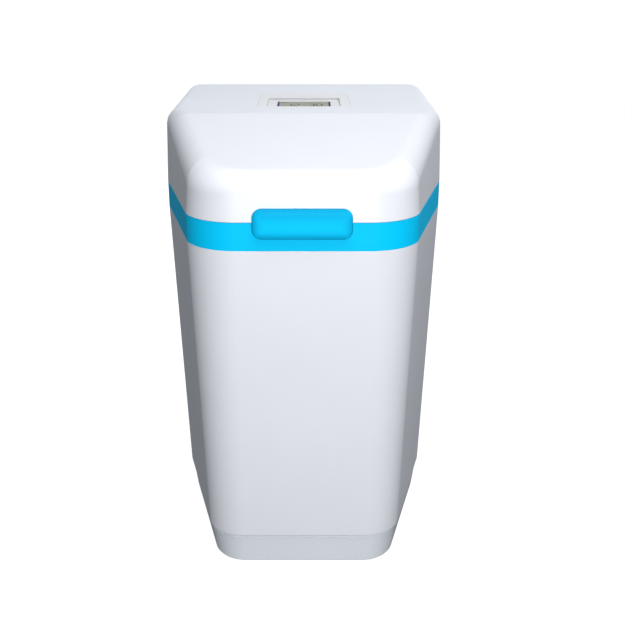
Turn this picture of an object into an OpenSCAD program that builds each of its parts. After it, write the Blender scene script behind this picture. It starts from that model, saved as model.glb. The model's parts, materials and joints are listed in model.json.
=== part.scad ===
// Cabinet water softener: salt cabinet, hinged lid, resin vessel, disc valve and control head.
// Every shape is laid out from the front plane (y = 0) and the floor (z = 0); in_frame() then
// moves the origin to the middle of the footprint. +X is to the right, -Y is the front, +Z is up.

/* [Cabinet] */
// Overall width
body_w = 330; // [300:1:370]
// Depth from the front of the band to the rear wall
body_d = 424; // [422:1:440]
// Half of the flat front's width
nose_half = 70; // [60:1:74]
// Radius of the front corners
corner_r = 59; // [52:1:66]
// Sweep of the front corners in degrees
corner_sweep = 66; // [60:1:70]
// Distance behind the front where the cabinet is widest
wide_y = 191; // [180:1:205]
// Radius of the rear corners
rear_r = 24; // [18:1:30]
// Wall of the cabinet
wall = 3; // [2.4:0.2:4]
// Thickness of the cabinet's floor
floor_t = 4; // [3:0.5:6]
// Height of the plinth
plinth_h = 32; // [28:1:40]
// Shadow gap between plinth and cabinet
groove = 1.65; // [1:0.05:3]
// Height of the skirt below the cabinet's floor
skirt_h = 10.35; // [9:0.05:14]
// Height of the cabinet's wall above the vessel's neck
body_h = 75.5; // [65.5:0.5:95.5]
// How far the cabinet tapers in at its bottom edge
body_taper = 12.3; // [8:0.1:14]
// How far the plinth stands inside the cabinet's bottom edge
plinth_inset = 2.4; // [1.6:0.1:4]
// Wall of the plinth
plinth_wall = 4; // [3:0.5:6]
// Height of the lift notches in the side skirts
notch_h = 6.3; // [4:0.1:8]
// Distance of the lift notches behind the front
notch_y = 145; // [130:1:160]
// Length of the lift notches
notch_len = 150; // [100:1:180]
// Radius of the rubber feet
foot_r = 15; // [12:1:18]
// Clearance of the plinth's skirt above the floor
foot_proud = 1; // [0.5:0.5:3]

/* [Band and lid] */
// Height of the band
band_h = 30.2; // [26:0.1:36]
// Wall of the band
band_t = 3; // [2.4:0.2:4]
// Gap between the band and the lid's edge
lid_gap = 0.4; // [0.3:0.05:0.6]
// Height of the lid
lid_h = 85.5; // [82:0.5:95]
// Wall of the lid
lid_wall = 3; // [2.4:0.2:3.6]
// How far the lid tapers in up to its top edge
lid_taper = 2.4; // [1:0.1:4]
// Distance of the top crease behind the front
crease_y = 164.4; // [150:0.1:175]
// Slope of the lid's front panel in degrees
slope = 12.9; // [9:0.1:14]
// Radius of the lid's front and side edges
lid_edge_r = 16; // [10:1:18]
// Radius of the lid's top edge over the front corners
lid_corner_r = 28; // [20:1:30]
// Width of the handle
handle_w = 104; // [90:1:120]
// Height of the handle
handle_h = 32; // [28:1:40]
// How far the handle stands proud
handle_proud = 6; // [5:0.5:9]
// Corner radius of the handle
handle_r = 8.5; // [6:0.5:11]
// Distance of each hinge from the middle
hinge_x = 95; // [85:1:110]
// Width of a hinge leaf
hinge_w = 32; // [28:1:40]
// Radius of the hinge pin
hinge_pin_r = 2; // [1.6:0.1:2.4]
// Radius of the hinge knuckles
knuckle_r = 4.75; // [4.2:0.05:5.5]

/* [Resin vessel] */
// Outer radius of the vessel
vessel_r = 102; // [96:1:104]
// Height of the vessel up to its shoulder
vessel_h = 246; // [230:1:265]
// Wall of the vessel
vessel_t = 3.5; // [3:0.5:5]
// Height of the domed ends
dome_h = 45; // [35:1:55]
// Outer radius of the neck
neck_r = 38; // [36:0.5:40]
// Inner radius of the neck
neck_bore_r = 31; // [29:0.5:32]
// Height of the neck
neck_h = 20; // [18:1:24]
// Gap between the vessel and the cabinet's rear wall
vessel_gap = 15.8; // [12:0.1:20]
// Height of the resin bed
bed_h = 165; // [120:1:175]
// Outer radius of the riser tube
riser_r = 13.35; // [12:0.05:14]

/* [Control valve] */
// Distance between the inlet and the outlet
port_pitch = 60; // [52:1:64]
// Radius of the inlet and outlet spigots
port_r = 13.2; // [12:0.1:14]
// Bore of the inlet and outlet
port_bore_r = 10; // [9:0.1:10.4]
// How far the spigots stand behind the rear wall
port_reach = 28; // [24:1:40]
// Radius of the drain tail
drain_r = 6.4; // [5:0.1:7]
// Radius of the ceramic discs
disc_r = 30; // [27:0.5:32]
// Thickness of a ceramic disc
disc_t = 6; // [5:0.5:8]
// Radius of the drive shaft
shaft_r = 6; // [5:0.5:8]
// Tooth module of the drive gears
gear_mod = 1; // [0.9:0.05:1]
// Teeth on the drive gear
gear_teeth = 64; // [56:4:64]
// Teeth on the motor pinion
pinion_teeth = 16; // [16:1:20]

/* [Control head] */
// Width of the head cover
head_w = 112; // [108:1:120]
// Depth of the head cover
head_d = 112.7; // [111:0.1:116]
// How far the head's rear face lies behind the vessel's axis
head_rear = 22.4; // [21:0.1:26]
// Wall of the head cover
head_wall = 2.5; // [2:0.1:3]
// Gap between the head cover and the lid's opening
window_gap = 0.8; // [0.6:0.1:1.5]
// Gap at the front of the lid's opening, where the lid swings past
swing_gap = 1.7; // [1.6:0.1:2.4]
// Width of the display recess
recess_w = 88.8; // [84:0.1:94]
// Length of the display recess
recess_d = 67.8; // [66:0.1:70]
// Depth of the display recess
recess_depth = 2.6; // [2:0.1:3.2]
// Width of the display glass
lcd_w = 65.4; // [60:0.1:70]
// Length of the display glass
lcd_d = 40; // [36:0.5:42]
// Width of a push button
button_w = 12; // [9:0.5:14]
// Length of a push button
button_d = 7.6; // [6:0.1:9]
// How far a button stands above the recess floor
button_proud = 0.6; // [0.4:0.1:0.8]
// Travel of a button
button_travel = 0.8; // [0.5:0.1:1]
// Distance between two buttons
button_pitch = 18; // [16:0.5:20]

/* [Brine system] */
// Outer radius of the brine well
well_r = 38; // [34:1:40]
// Height of the brine well
well_h = 337; // [310:1:360]
// Distance of the brine well left of the middle
well_x = 85; // [80:1:90]
// Distance of the brine well behind the front
well_y = 135; // [125:1:140]
// Radius of the float
float_r = 13.5; // [11:0.5:14]
// Height of the float
float_h = 60; // [40:1:70]
// Travel of the float
float_travel = 40; // [20:1:50]
// Radius of the float's rod
rod_r = 3; // [2.5:0.1:3.5]
// Radius of the brine tube
tube_r = 4.75; // [4:0.05:5.5]
// Height of the salt grid above the cabinet's floor
grid_h = 50; // [40:1:60]
// Radius of the holes in the salt grid
grid_hole_r = 4; // [3:0.5:5]
// Distance between the holes in the salt grid
grid_pitch = 22; // [18:1:28]
// Height of the overflow above the cabinet's floor
overflow_h = 237; // [200:1:245]
// Radius of the overflow's hose tail
overflow_r = 8; // [6:0.5:9]

/* [Hidden] */
$fn = 64;

// Fits and small clearances
slip = 0.3;
running = 0.05;
snug = 0.02;
over = 1;
turn = 360;
quarter = 90;
hexagon = 6;
buttons = 4;
arc_steps = 8;

// Colours
white = [0.92, 0.93, 0.95];
blue = [0.02, 0.72, 0.96];
pale_grey = [0.78, 0.8, 0.83];
dark = [0.12, 0.12, 0.13];
steel = [0.7, 0.71, 0.73];
ceramic = [0.95, 0.94, 0.9];
fibre_blue = [0.16, 0.2, 0.26];
bead_brown = [0.72, 0.45, 0.15];
bezel_white = [0.92, 0.92, 0.91];
board_green = [0.08, 0.35, 0.18];
film_grey = [0.62, 0.64, 0.55];
float_orange = [0.9, 0.55, 0.1];
tube_white = [0.85, 0.85, 0.82];

// Levels above the floor
body_z = plinth_h + groove;
floor_z = body_z + skirt_h + floor_t;
vessel_foot_t = 4;
vessel_z = floor_z + vessel_foot_t;
shoulder_z = vessel_z + vessel_h;
neck_z = shoulder_z + neck_h;
band_z = neck_z + body_h;
rim_z = band_z + band_h;
lid_z = rim_z + lid_gap;
top_z = lid_z + lid_h;

// Neck rim of the cabinet, inside the band; the rear wall is as thick as band and rim together
rim_fit = 0.2;
rim_in = band_t + rim_fit;
rim_wall = 3;
rear_wall = rim_in + rim_wall;
inner_y = body_d - rear_wall;
seal_h = 2.7;

// Plan of the cabinet
half_w = body_w / 2;
flare_x = nose_half + corner_r * sin(corner_sweep);
flare_y = corner_r - corner_r * cos(corner_sweep);
flare = atan((half_w - flare_x) / (wide_y - flare_y));
vessel_y = body_d - rear_wall - vessel_gap - vessel_r;
origin_y = (body_d + port_reach - handle_proud) / 2;
skirt_fit = 0.5;

// Resin vessel
vessel_flat_r = 40.8;
foot_wall = 3.5;
foot_drop = 5;
riser_wall = 2.3;
riser_lift = 14;
riser_socket = 26;
strainer_wall = 9;
strainer_h = 40;
strainer_lift = 2;
strainer_seat = 0.2;
strainer_plug = 4;
top_strainer_h = 24;
top_strainer_gap = 4;
strainer_slot = 1.2;
strainer_slots = 6;

// Control valve
collar_wall = 10;
collar_r = neck_r + collar_wall;
collar_h = 16;
base_t = 12;
block_half = 44;
block_front = 34;
block_rear = 40;
block_h = 58;
block_z = neck_z + base_t;
port_rise = 34;
port_z = neck_z + port_rise;
port_step = 1.8;
port_pipe_r = port_r + port_step;
rotor_offset = 15;
rotor_y = vessel_y - rotor_offset;
chamber_z = block_z + block_h;
chamber_floor = 4;
chamber_clear = 3;
chamber_bore_r = disc_r + chamber_clear;
chamber_wall = 4;
chamber_r = chamber_bore_r + chamber_wall;
disc_z = chamber_z + chamber_floor;
disc_ports = 4;
lap = 0.1;
moving_z = disc_z + disc_t + lap;
flange_z = moving_z + disc_t;
flange_t = 5;
flange_inset = 8;
flange_r = disc_r - flange_inset;
shaft_gap = 19;
base_z = flange_z + flange_t + shaft_gap;
base_plate_t = 4;
boss_h = 4;
gear_lift = 2.4;
gear_t = 8;
gear_z = base_z + base_plate_t + gear_lift;
cover_gap = 2.6;
cover_z = gear_z + gear_t + cover_gap;
cover_t = 3;
cover_side = 12;
cover_front = 12;
cover_rear = 26;
cover_post_r = 3.5;
cover_post_x = 4;
cover_post_y = 6;
mesh_gap = 0.12;
gear_r = gear_mod * gear_teeth / 2;
pinion_pitch_r = gear_mod * pinion_teeth / 2;
pinion_y = rotor_y - gear_r - pinion_pitch_r - mesh_gap;
motor_r = 17;
motor_h = 22;
motor_flange = 1;
motor_flange_t = 3;
motor_shaft_r = 2.5;
motor_shaft_in = 10;
pinion_over = 0.5;
drain_rise = 26;
drain_drop = 15.5;
// Drain: at its height on the valve, or lower where the band would be in its way
drain_z = min(port_z + drain_rise, band_z - drain_drop);
socket = 12;
connector_offset = 10;
connector_y = vessel_y - connector_offset;
connector_rise = 10;
connector_z = port_z + connector_rise;
connector_step = 2;
connector_r = 8;
connector_len = 14;
drain_wall = 1.9;
drain_bore_r = drain_r - drain_wall;
drain_step = 1;
drain_pipe_r = drain_r + drain_step;
drain_collar = 2;
drain_collar_t = 8;
cap_flange = 3;
cap_t = 7;
passage_inset = 10.2;
passage_x = port_pitch / 2 - passage_inset;
passage_r = 5;
disc_hole_r = 4.6;
channel_w = 8;
channel_sweep = 120;
oring_r = 1.6;
oring_inset = 3.5;
oring_room = 0.2;

// Flow meter in the outlet
meter_back = 30;
meter_y = vessel_y + block_rear + meter_back;
axle_r = 1.5;
axle_len = 10;
axle_in = 2;
axle_cap = 1;
axle_cap_lip = 0.8;
cage_wall = 1.2;
cage_h = 6;
hub_r = 3;
hub_h = 4;
spokes = 3;
spoke_w = 1.2;
spoke_end = 0.6;
turbine_h = 9.4;
blade_root = 2;
blades = 6;
blade_t = 1;
blade_h = 8;
blade_pitch = 35;
blade_gap = 1.6;

// Control head
head_y1 = vessel_y + head_rear;
head_y0 = head_y1 - head_d;
head_mid_y = (head_y0 + head_y1) / 2;
head_corner = 5;
head_z = base_z + base_plate_t;
recess_front = 2.3;
recess_y0 = head_y0 + recess_front;
recess_z = top_z - recess_depth;
panel_t = 2.4;
lcd_margin = 11;
lcd_y = recess_y0 + recess_d - lcd_margin - lcd_d / 2;
lcd_sunk = 0.3;
lcd_fit = 0.2;
button_margin = 3.5;
button_y = recess_y0 + button_margin + button_d / 2;
button_flange = 1;
button_flange_t = 1.1;
stem_r = 2;
stem_h = 1.6;
switch_h = 0.5;
pcb_t = 1.6;
pcb_z = recess_z - panel_t - slip - button_flange_t - stem_h - button_travel - slip - switch_h - pcb_t;
pcb_side = 13;
pcb_w = head_w - 2 * pcb_side;
pcb_rear = 36;
pcb_d = head_d - pcb_rear;
pcb_front = 1;
pcb_y = recess_y0 + pcb_front + pcb_d / 2;
pcb_post = 4;
switch_half = 3;
post_r = 3.2;
screw_r = 1.7;
screw_head_r = 3.4;
screw_head = 2;
head_screw_head = 2.4;
head_screw_len = 12;
screw_inset = 7;
boss_r = 5;

// Hinges
knuckle_stand = 0.5;
hinge_y = body_d + knuckle_r + knuckle_stand;
hinge_z = rim_z + lid_gap / 2;
leaf_t = 2;
leaf_h = 22;
leaf_clear = 0.55;
knuckle_gap = 0.3;
mid_knuckle = 11.52;
leaf_screw_head = 1.2;
leaf_screw_head_r = 3.06;
leaf_screw_inset = 6.4;
leaf_screw_x = hinge_w / 2 - leaf_screw_inset;
function leaf_screw_z(dir) = hinge_z + dir * (leaf_h / 2 + knuckle_r);

// Rear port plate
plate_t = 3;
plate_lap = 8;
window_side = 50;
window_x = port_pitch / 2 + port_pipe_r + window_side;
window_below = 15;
window_z0 = port_z - port_pipe_r - window_below;
window_above = 1.6;
window_z1 = drain_z + drain_pipe_r + window_above;
plate_screw_depth = rim_wall - slip;
plate_screw_inset = 12;
inlet_inset = 20;
inlet_x = window_x - inlet_inset;
inlet_len = 16;
inlet_flange = 2.5;
inlet_socket = 10;
inlet_pin_r = 1;
inlet_r = 7;
inlet_bore_r = 3.2;

// Brine system
well_t = 2.5;
well_bore_r = well_r - well_t;
well_top = floor_z + well_h;
well_slot_w = 4;
well_slots = 4;
well_slot_h = 30;
well_slot_lift = 8;
well_cap_lip = 2;
well_cap_t = 4;
plug_h = 10;
plug_fit = 0.2;
plug_wall = 2;
bar_half = 12;
bar_h = 26;
bar_headroom = 6;
bar_z = well_top - float_travel - bar_headroom - bar_h;
well_offset = 14;
rod_x = well_offset - well_x;
pickup_x = -well_x - well_offset;
pickup_r = 5;
pickup_wall = 1.6;
pickup_socket = 8;
pickup_short = 0.5;
check_h = 44;
check_r = 12;
check_lift = 2;
check_z = floor_z + check_lift;
check_foot = 4;
guide_h = 12;
guide_half = 6;
guide_reach = 7;
collar_t = 3;
float_z = bar_z - float_travel - slip - collar_t - float_h;
rod_z0 = check_z + check_h / 2;
rod_end = 2;
rod_z1 = bar_z + bar_h + rod_end;
spigot_reach = 10;
spigot_y = well_y + well_r + spigot_reach;
spigot_z = bar_z + bar_h / 2;
spigot_r = 6.5;
tube_bend = 42;
tube_wall = 1.5;
tube_bore_r = tube_r - tube_wall;
tube_end_x = -block_half - connector_len;
grid_t = 3;
grid_z = floor_z + grid_h;
grid_gap = 1.5;
grid_front = 46;
grid_rear = 30;
grid_well_gap = 0.5;
grid_vessel_gap = 6;
grid_margin = 3;
grid_edge = 8;
grid_cols = floor(half_w / grid_pitch);
leg_r = 6;
leg_front = 60;
leg_mid = 150;
leg_side = 39;
leg_x = 35;
overflow_inset = 50;
overflow_x = overflow_inset - half_w;
overflow_z = floor_z + overflow_h;
overflow_thread = 2;
overflow_thread_r = overflow_r + overflow_thread;
overflow_flange = 5;
overflow_flange_t = 4;
overflow_wall = 2;
overflow_end = 2;
washer_t = 1.5;
washer_lip = 4.5;
nut_t = 6;

// Sizes that repeat below
leg_places = concat([[-leg_x, leg_front], [leg_x, leg_front], [0, leg_mid], [2 * leg_x, leg_mid]],
    [for (sx = [-1, 1]) [sx * (half_w - leg_side), wide_y + leg_side / 2]]);
foot_front = 11;
foot_inset = 50;
foot_rear = 60;
foot_places = concat([for (sx = [-1, 1]) [sx * nose_half, corner_r + foot_front]],
    [for (sx = [-1, 1]) [sx * (half_w - foot_inset), body_d - foot_rear]]);
button_x = [for (k = [0:buttons - 1]) (k - (buttons - 1) / 2) * button_pitch];
head_screw_places = [for (sx = [-1, 1], y = [head_y0 + screw_inset, head_y1 - screw_inset])
    [sx * (head_w / 2 - screw_inset), y]];
cover_post_rows = [pinion_y - cover_front + cover_post_y, rotor_y + cover_rear - cover_post_y];
cover_posts = [for (sx = [-1, 1], y = cover_post_rows) [sx * (head_w / 2 - cover_side - cover_post_x), y]];
plate_screw_places = [for (sx = [-1, 1], z = [window_z0 - plate_lap / 2, window_z1 + plate_lap / 2])
    [sx * (window_x - plate_screw_inset), z]];
hinge_screw_x = [for (sx = [-1, 1], dx = [-1, 1]) sx * hinge_x + dx * leaf_screw_x];
handle_screw_inset = 20.8;
handle_screw_x = [for (sx = [-1, 1]) sx * (handle_w / 2 - handle_screw_inset)];
handle_drop = 0.7;
handle_z = rim_z - handle_drop;
handle_screw_rise = 8;
handle_screw_z = lid_z + handle_screw_rise;
handle_screw_len = 4;
handle_screw_head = 2.2;
handle_edge = 4;
band_clear = 0.6;
slice = 0.01;
edge_step = 22.5;
// Front face of the lid's lip at a height
function lip_y(z) = lid_taper * (z - lid_z) / (roof(lid_taper) - lid_edge_r - lid_z);

// Plan outline, inset by i at the front and sides and by b at the rear
function arc(cx, cy, r, a0, a1, n = arc_steps) =
    [for (k = [0:n]) let (a = a0 + (a1 - a0) * k / n) [cx + r * cos(a), cy + r * sin(a)]];
function right_side(i, b) = concat(
    arc(nose_half, corner_r, corner_r - i, -quarter, corner_sweep - quarter),
    [[half_w - i, wide_y + i * tan(flare / 2)]],
    arc(half_w - i - rear_r, body_d - b - rear_r, rear_r, 0, quarter));
function mirrored(pts) = [for (k = [len(pts) - 1:-1:0]) [-pts[k].x, pts[k].y]];
function outline(i, b = 0) = concat(right_side(i, b), mirrored(right_side(i, b)));
function level(i, b, z) = [for (p = outline(i, b)) [p.x, p.y, z]];

// Roof of the lid: front slope up to the crease, then level
function roof(y) = min(top_z, top_z - (crease_y - y) * tan(slope));
function eased(s) = s * s * (3 - 2 * s);

// Radius of the lid's top edge along the plan: it grows over the front corner and eases off to the rear
lid_wide_r = (lid_edge_r + lid_corner_r) / 2;
right_edge_r = concat(
    [for (k = [0:arc_steps]) lid_edge_r + (lid_corner_r - lid_edge_r) * eased(k / arc_steps)],
    [lid_wide_r], [for (k = [0:arc_steps]) lid_edge_r]);
edge_r = concat(right_edge_r, [for (k = [len(right_edge_r) - 1:-1:0]) right_edge_r[k]]);
crease_share = (crease_y - flare_y) / (wide_y - flare_y);
crease_x = flare_x + (half_w - flare_x) * crease_share;
crease_r = lid_corner_r + (lid_wide_r - lid_corner_r) * crease_share;

// Ring of the lid, set in by w, where its rounded edge has turned by a
function roof_level(w, a) = concat(
    [for (k = [0:len(edge_r) - 1])
        let (r = edge_r[k] - w, i = w + r * (1 - cos(a)), p = outline(lid_taper + i, i)[k])
        [p.x, p.y, roof(p.y) - w - r * (1 - sin(a))]],
    [for (sx = [-1, 1]) let (r = crease_r - w, i = lid_taper + w + r * (1 - cos(a)))
        [sx * (crease_x - i / cos(flare)), crease_y, top_z - w - r * (1 - sin(a))]]);
function lid_points(w) = concat(
    level(w, w, lid_z - (w > 0 ? over : 0)),
    [for (a = [0:edge_step:quarter]) each roof_level(w, a)]);

// Body taper at a height: zero at the band
function taper_at(z) = body_taper * (band_z - z) / (band_z - body_z);

function rounded(w, h, r) = let (x = w / 2 - r, y = h / 2 - r) concat(
    arc(x, -y, r, -quarter, 0), arc(x, y, r, 0, quarter),
    arc(-x, y, r, quarter, 2 * quarter), arc(-x, -y, r, 2 * quarter, 3 * quarter));

// Involute gear outline
function inv_angle(rb, r) = let (a = acos(min(1, rb / r))) tan(a) * 180 / PI - a;
function polar(r, a) = [r * cos(a), r * sin(a)];
function gear_outline(teeth, slack = 8, pressure = 20, addendum = 0.9, dedendum = 1.25, steps = 4) =
    let (rp = gear_mod * teeth / 2, rb = rp * cos(pressure), ra = rp + addendum * gear_mod,
        rf = rp - dedendum * gear_mod, r0 = max(rb, rf + running),
        half = function (r) (quarter - slack) / teeth + inv_angle(rb, rp) - inv_angle(rb, r),
        rs = [for (k = [0:steps]) r0 + (ra - r0) * k / steps])
    [for (t = [0:teeth - 1]) let (c = turn * t / teeth) each concat(
        [polar(rf, c - half(r0))], [for (r = rs) polar(r, c - half(r))],
        [for (k = [steps:-1:0]) polar(rs[k], c + half(rs[k]))], [polar(rf, c + half(r0))])];

// Closed vessel outline: flat base, domed ends, straight side
function vessel_side(r, flat, dome, h, top_r, n = 10) = concat(
    [for (k = [0:n]) let (a = quarter * k / n) [flat + (r - flat) * sin(a), dome * (1 - cos(a))]],
    [for (k = [0:n]) let (a = quarter * k / n) [top_r + (r - top_r) * cos(a), h - dome * (1 - sin(a))]]);

module in_frame() {
    translate([0, -origin_y, 0]) children();
}

module convex(points) {
    hull() polyhedron(points, [for (k = [0:len(points) - 3]) [k, k + 1, k + 2]]);
}

module slab(z, h, pts) {
    translate([0, 0, z]) linear_extrude(h) polygon(pts);
}

module ring(z, h, outer, inner) {
    translate([0, 0, z]) linear_extrude(h) difference() {
        polygon(outer);
        polygon(inner);
    }
}

// Cylinder along +Y from y0
module rod_y(x, y0, z, r, len) {
    translate([x, y0, z]) rotate([-90, 0, 0]) cylinder(h = len, r = r);
}

// Cylinder along +X from x0
module rod_x_dir(x0, y, z, r, len) {
    translate([x0, y, z]) rotate([0, 90, 0]) cylinder(h = len, r = r);
}

module post(x, y, z, r, h) {
    translate([x, y, z]) cylinder(h = h, r = r);
}

module tube(x, y, z, r_out, r_in, h) {
    translate([x, y, z]) difference() {
        cylinder(h = h, r = r_out);
        translate([0, 0, -over]) cylinder(h = h + 2 * over, r = r_in);
    }
}

module block(x0, x1, y0, y1, z0, z1) {
    translate([x0, y0, z0]) cube([x1 - x0, y1 - y0, z1 - z0]);
}

// Cabinet

module cabinet() color(white) in_frame() difference() {
    union() {
        convex(concat(level(body_taper, 0, body_z), level(0, 0, band_z)));
        slab(band_z - over, over + band_h - seal_h, outline(rim_in, rim_in));
    }
    convex(concat(
        level(taper_at(floor_z) + wall, rear_wall, floor_z),
        level(rim_in + rim_wall, rear_wall, band_z),
        level(rim_in + rim_wall, rear_wall, rim_z)));
    slab(body_z - over, skirt_h + over, outline(body_taper + wall, wall));
    for (sx = [-1, 1])
        block(sx * half_w - half_w / 2, sx * half_w + half_w / 2, notch_y, notch_y + notch_len,
            body_z - over, body_z + notch_h);
    block(-window_x, window_x, inner_y - over, body_d + over, window_z0, window_z1);
    rod_y(overflow_x, inner_y - over, overflow_z, overflow_thread_r + slip, rear_wall + 2 * over);
    for (p = plate_screw_places) rod_y(p.x, inner_y - over, p.y, screw_r, plate_screw_depth + over);
    for (x = hinge_screw_x) rod_y(x, inner_y - over, leaf_screw_z(-1), screw_r + snug, rear_wall);
}

module base_plinth() color(pale_grey) in_frame() difference() {
    union() {
        slab(foot_proud, plinth_h - foot_proud, outline(body_taper + plinth_inset));
        slab(plinth_h - over, groove + skirt_h + over,
            outline(body_taper + wall + skirt_fit, wall + skirt_fit));
    }
    slab(foot_proud - over, plinth_h - foot_proud - plinth_wall + over,
        outline(body_taper + plinth_inset + plinth_wall, plinth_wall));
}

module feet() color(dark) in_frame() for (p = foot_places) {
    post(p.x, p.y, 0, foot_r, plinth_h - plinth_wall);
}

module trim_band() color(blue) in_frame() difference() {
    ring(band_z, band_h, outline(0), outline(band_t, band_t));
    for (x = hinge_screw_x)
        rod_y(x, body_d - band_t - over, leaf_screw_z(-1), screw_r + snug, band_t + 2 * over);
}

module rim_seal() color(dark) in_frame()
    ring(rim_z - seal_h, seal_h, outline(rim_in, rim_in), outline(rim_in + rim_wall, rear_wall));

module rear_port_plate() color(pale_grey) in_frame() difference() {
    block(-window_x - plate_lap, window_x + plate_lap, inner_y - plate_t, inner_y,
        window_z0 - plate_lap, window_z1 + plate_lap);
    for (sx = [-1, 1])
        rod_y(sx * port_pitch / 2, inner_y - plate_t - over, port_z, port_pipe_r + slip, plate_t + 2 * over);
    rod_y(0, inner_y - plate_t - over, drain_z, drain_pipe_r + slip, plate_t + 2 * over);
    rod_y(inlet_x, inner_y - plate_t - over, port_z, inlet_r + snug, plate_t + 2 * over);
    for (p = plate_screw_places)
        rod_y(p.x, inner_y - plate_t - over, p.y, screw_r + snug, plate_t + 2 * over);
}

module plate_screws() color(steel) in_frame() for (p = plate_screw_places) {
    rod_y(p.x, inner_y - plate_t - screw_head, p.y, screw_head_r, screw_head);
    rod_y(p.x, inner_y - plate_t - over, p.y, screw_r - snug, plate_t + over + plate_screw_depth - slip);
}

module overflow_fitting() color(dark) in_frame() difference() {
    union() {
        rod_y(overflow_x, inner_y - overflow_flange_t, overflow_z, overflow_thread_r + overflow_flange,
            overflow_flange_t);
        rod_y(overflow_x, inner_y - over, overflow_z, overflow_thread_r,
            over + rear_wall + washer_t + nut_t + overflow_end);
        rod_y(overflow_x, body_d, overflow_z, overflow_r, port_reach);
    }
    rod_y(overflow_x, inner_y - overflow_flange_t - over, overflow_z, overflow_r - overflow_wall,
        port_reach + rear_wall + overflow_flange_t + 2 * over);
}

module overflow_washer() color(dark) in_frame() translate([overflow_x, body_d, overflow_z])
    rotate([-90, 0, 0]) tube(0, 0, 0, overflow_thread_r + washer_lip, overflow_thread_r + snug, washer_t);

module overflow_nut() color(pale_grey) in_frame() translate([overflow_x, body_d + washer_t, overflow_z])
    rotate([-90, 0, 0]) difference() {
        cylinder(h = nut_t, r = overflow_thread_r + overflow_flange, $fn = hexagon);
        translate([0, 0, -over]) cylinder(h = nut_t + 2 * over, r = overflow_thread_r + snug);
    }

module power_inlet() color(dark) in_frame() difference() {
    union() {
        rod_y(inlet_x, inner_y - inlet_len, port_z, inlet_r, inlet_len);
        for (y = [inner_y, inner_y - plate_t - inlet_flange])
            rod_y(inlet_x, y, port_z, inlet_r + inlet_flange, inlet_flange);
    }
    difference() {
        rod_y(inlet_x, inner_y - inlet_socket, port_z, inlet_bore_r, inlet_socket + inlet_flange + over);
        rod_y(inlet_x, inner_y - inlet_socket, port_z, inlet_pin_r, inlet_socket - over);
    }
}

function grid_free(x, y) =
    norm([x + well_x, y - well_y]) > well_r + grid_margin + grid_hole_r &&
    norm([x, y - vessel_y]) > vessel_r + grid_vessel_gap + grid_margin + grid_hole_r &&
    min([for (p = leg_places) norm([x - p.x, y - p.y])]) > leg_r + grid_hole_r + over &&
    abs(x) < min(half_w, flare_x + (y - flare_y) * tan(flare)) - grid_hole_r - body_taper - wall - grid_edge;

module salt_grid() color(pale_grey) in_frame() {
    translate([0, 0, grid_z]) linear_extrude(grid_t) difference() {
        polygon(outline(taper_at(grid_z) + wall + grid_gap, wall + grid_gap));
        translate([0, vessel_y]) circle(vessel_r + grid_vessel_gap);
        translate([-well_x, well_y]) circle(well_r + grid_well_gap);
        translate([-half_w, vessel_y - grid_rear]) square([body_w, body_d]);
        for (x = [-grid_cols:grid_cols], y = [grid_front:grid_pitch:vessel_y - grid_rear - 2 * grid_hole_r])
            if (grid_free(x * grid_pitch, y)) translate([x * grid_pitch, y]) circle(grid_hole_r);
    }
    for (p = leg_places) post(p.x, p.y, floor_z, leg_r, grid_h + grid_t / 2);
}

// Lid

module lid() color(white) in_frame() difference() {
    convex(lid_points(0));
    convex(lid_points(lid_wall));
    translate([0, head_mid_y + (window_gap - swing_gap) / 2, top_z - lid_wall - over])
        linear_extrude(lid_wall + 2 * over)
            polygon(rounded(head_w + 2 * window_gap, head_d + window_gap + swing_gap,
                head_corner + window_gap));
    for (x = handle_screw_x)
        rod_y(x, -over, handle_screw_z, screw_r + slip, lid_wall + 3 * over);
    for (x = hinge_screw_x)
        rod_y(x, body_d - lid_wall - over, leaf_screw_z(1), screw_r + snug, lid_wall + 2 * over);
}

module handle_slice(y, inset) {
    translate([0, y, handle_z]) rotate([90, 0, 0]) linear_extrude(slice)
        polygon(rounded(handle_w - 2 * inset, handle_h - 2 * inset, handle_r - inset));
}

module lid_handle() color(blue) in_frame() difference() {
    hull() {
        handle_slice(lid_taper, 0);
        for (a = [0:edge_step:quarter])
            handle_slice(-handle_proud + handle_edge * (1 - sin(a)) + slice, handle_edge * (1 - cos(a)));
    }
    block(-handle_w, handle_w, -band_clear, lid_taper + over, handle_z - handle_h, lid_z);
    translate([-handle_w, 0, 0]) rotate([90, 0, 90]) linear_extrude(2 * handle_w)
        polygon([[lip_y(lid_z - over) - snug, lid_z - over],
            [lip_y(handle_z + handle_h) - snug, handle_z + handle_h],
            [lid_taper + over, handle_z + handle_h], [lid_taper + over, lid_z - over]]);
    for (x = handle_screw_x)
        rod_y(x, -handle_screw_len, handle_screw_z, screw_r + snug, 2 * handle_screw_len);
}

module handle_screws() color(steel) in_frame() for (x = handle_screw_x) {
    head_y = lip_y(handle_screw_z + screw_head_r) + lid_wall + snug;
    rod_y(x, slip - handle_screw_len, handle_screw_z, screw_r, head_y + handle_screw_len);
    rod_y(x, head_y, handle_screw_z, screw_head_r, handle_screw_head);
}

// Hinges: the lid's middle knuckle turns between the cabinet's two outer ones

module leaf(dir) {
    difference() {
        block(-hinge_w / 2, hinge_w / 2, body_d, body_d + leaf_t,
            hinge_z + (dir > 0 ? knuckle_r + leaf_clear : -knuckle_r - leaf_clear - leaf_h),
            hinge_z + (dir > 0 ? knuckle_r + leaf_clear + leaf_h : -knuckle_r - leaf_clear));
        for (dx = [-1, 1])
            rod_y(dx * leaf_screw_x, body_d - over, leaf_screw_z(dir), screw_r + snug, leaf_t + 2 * over);
    }
}

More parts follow.
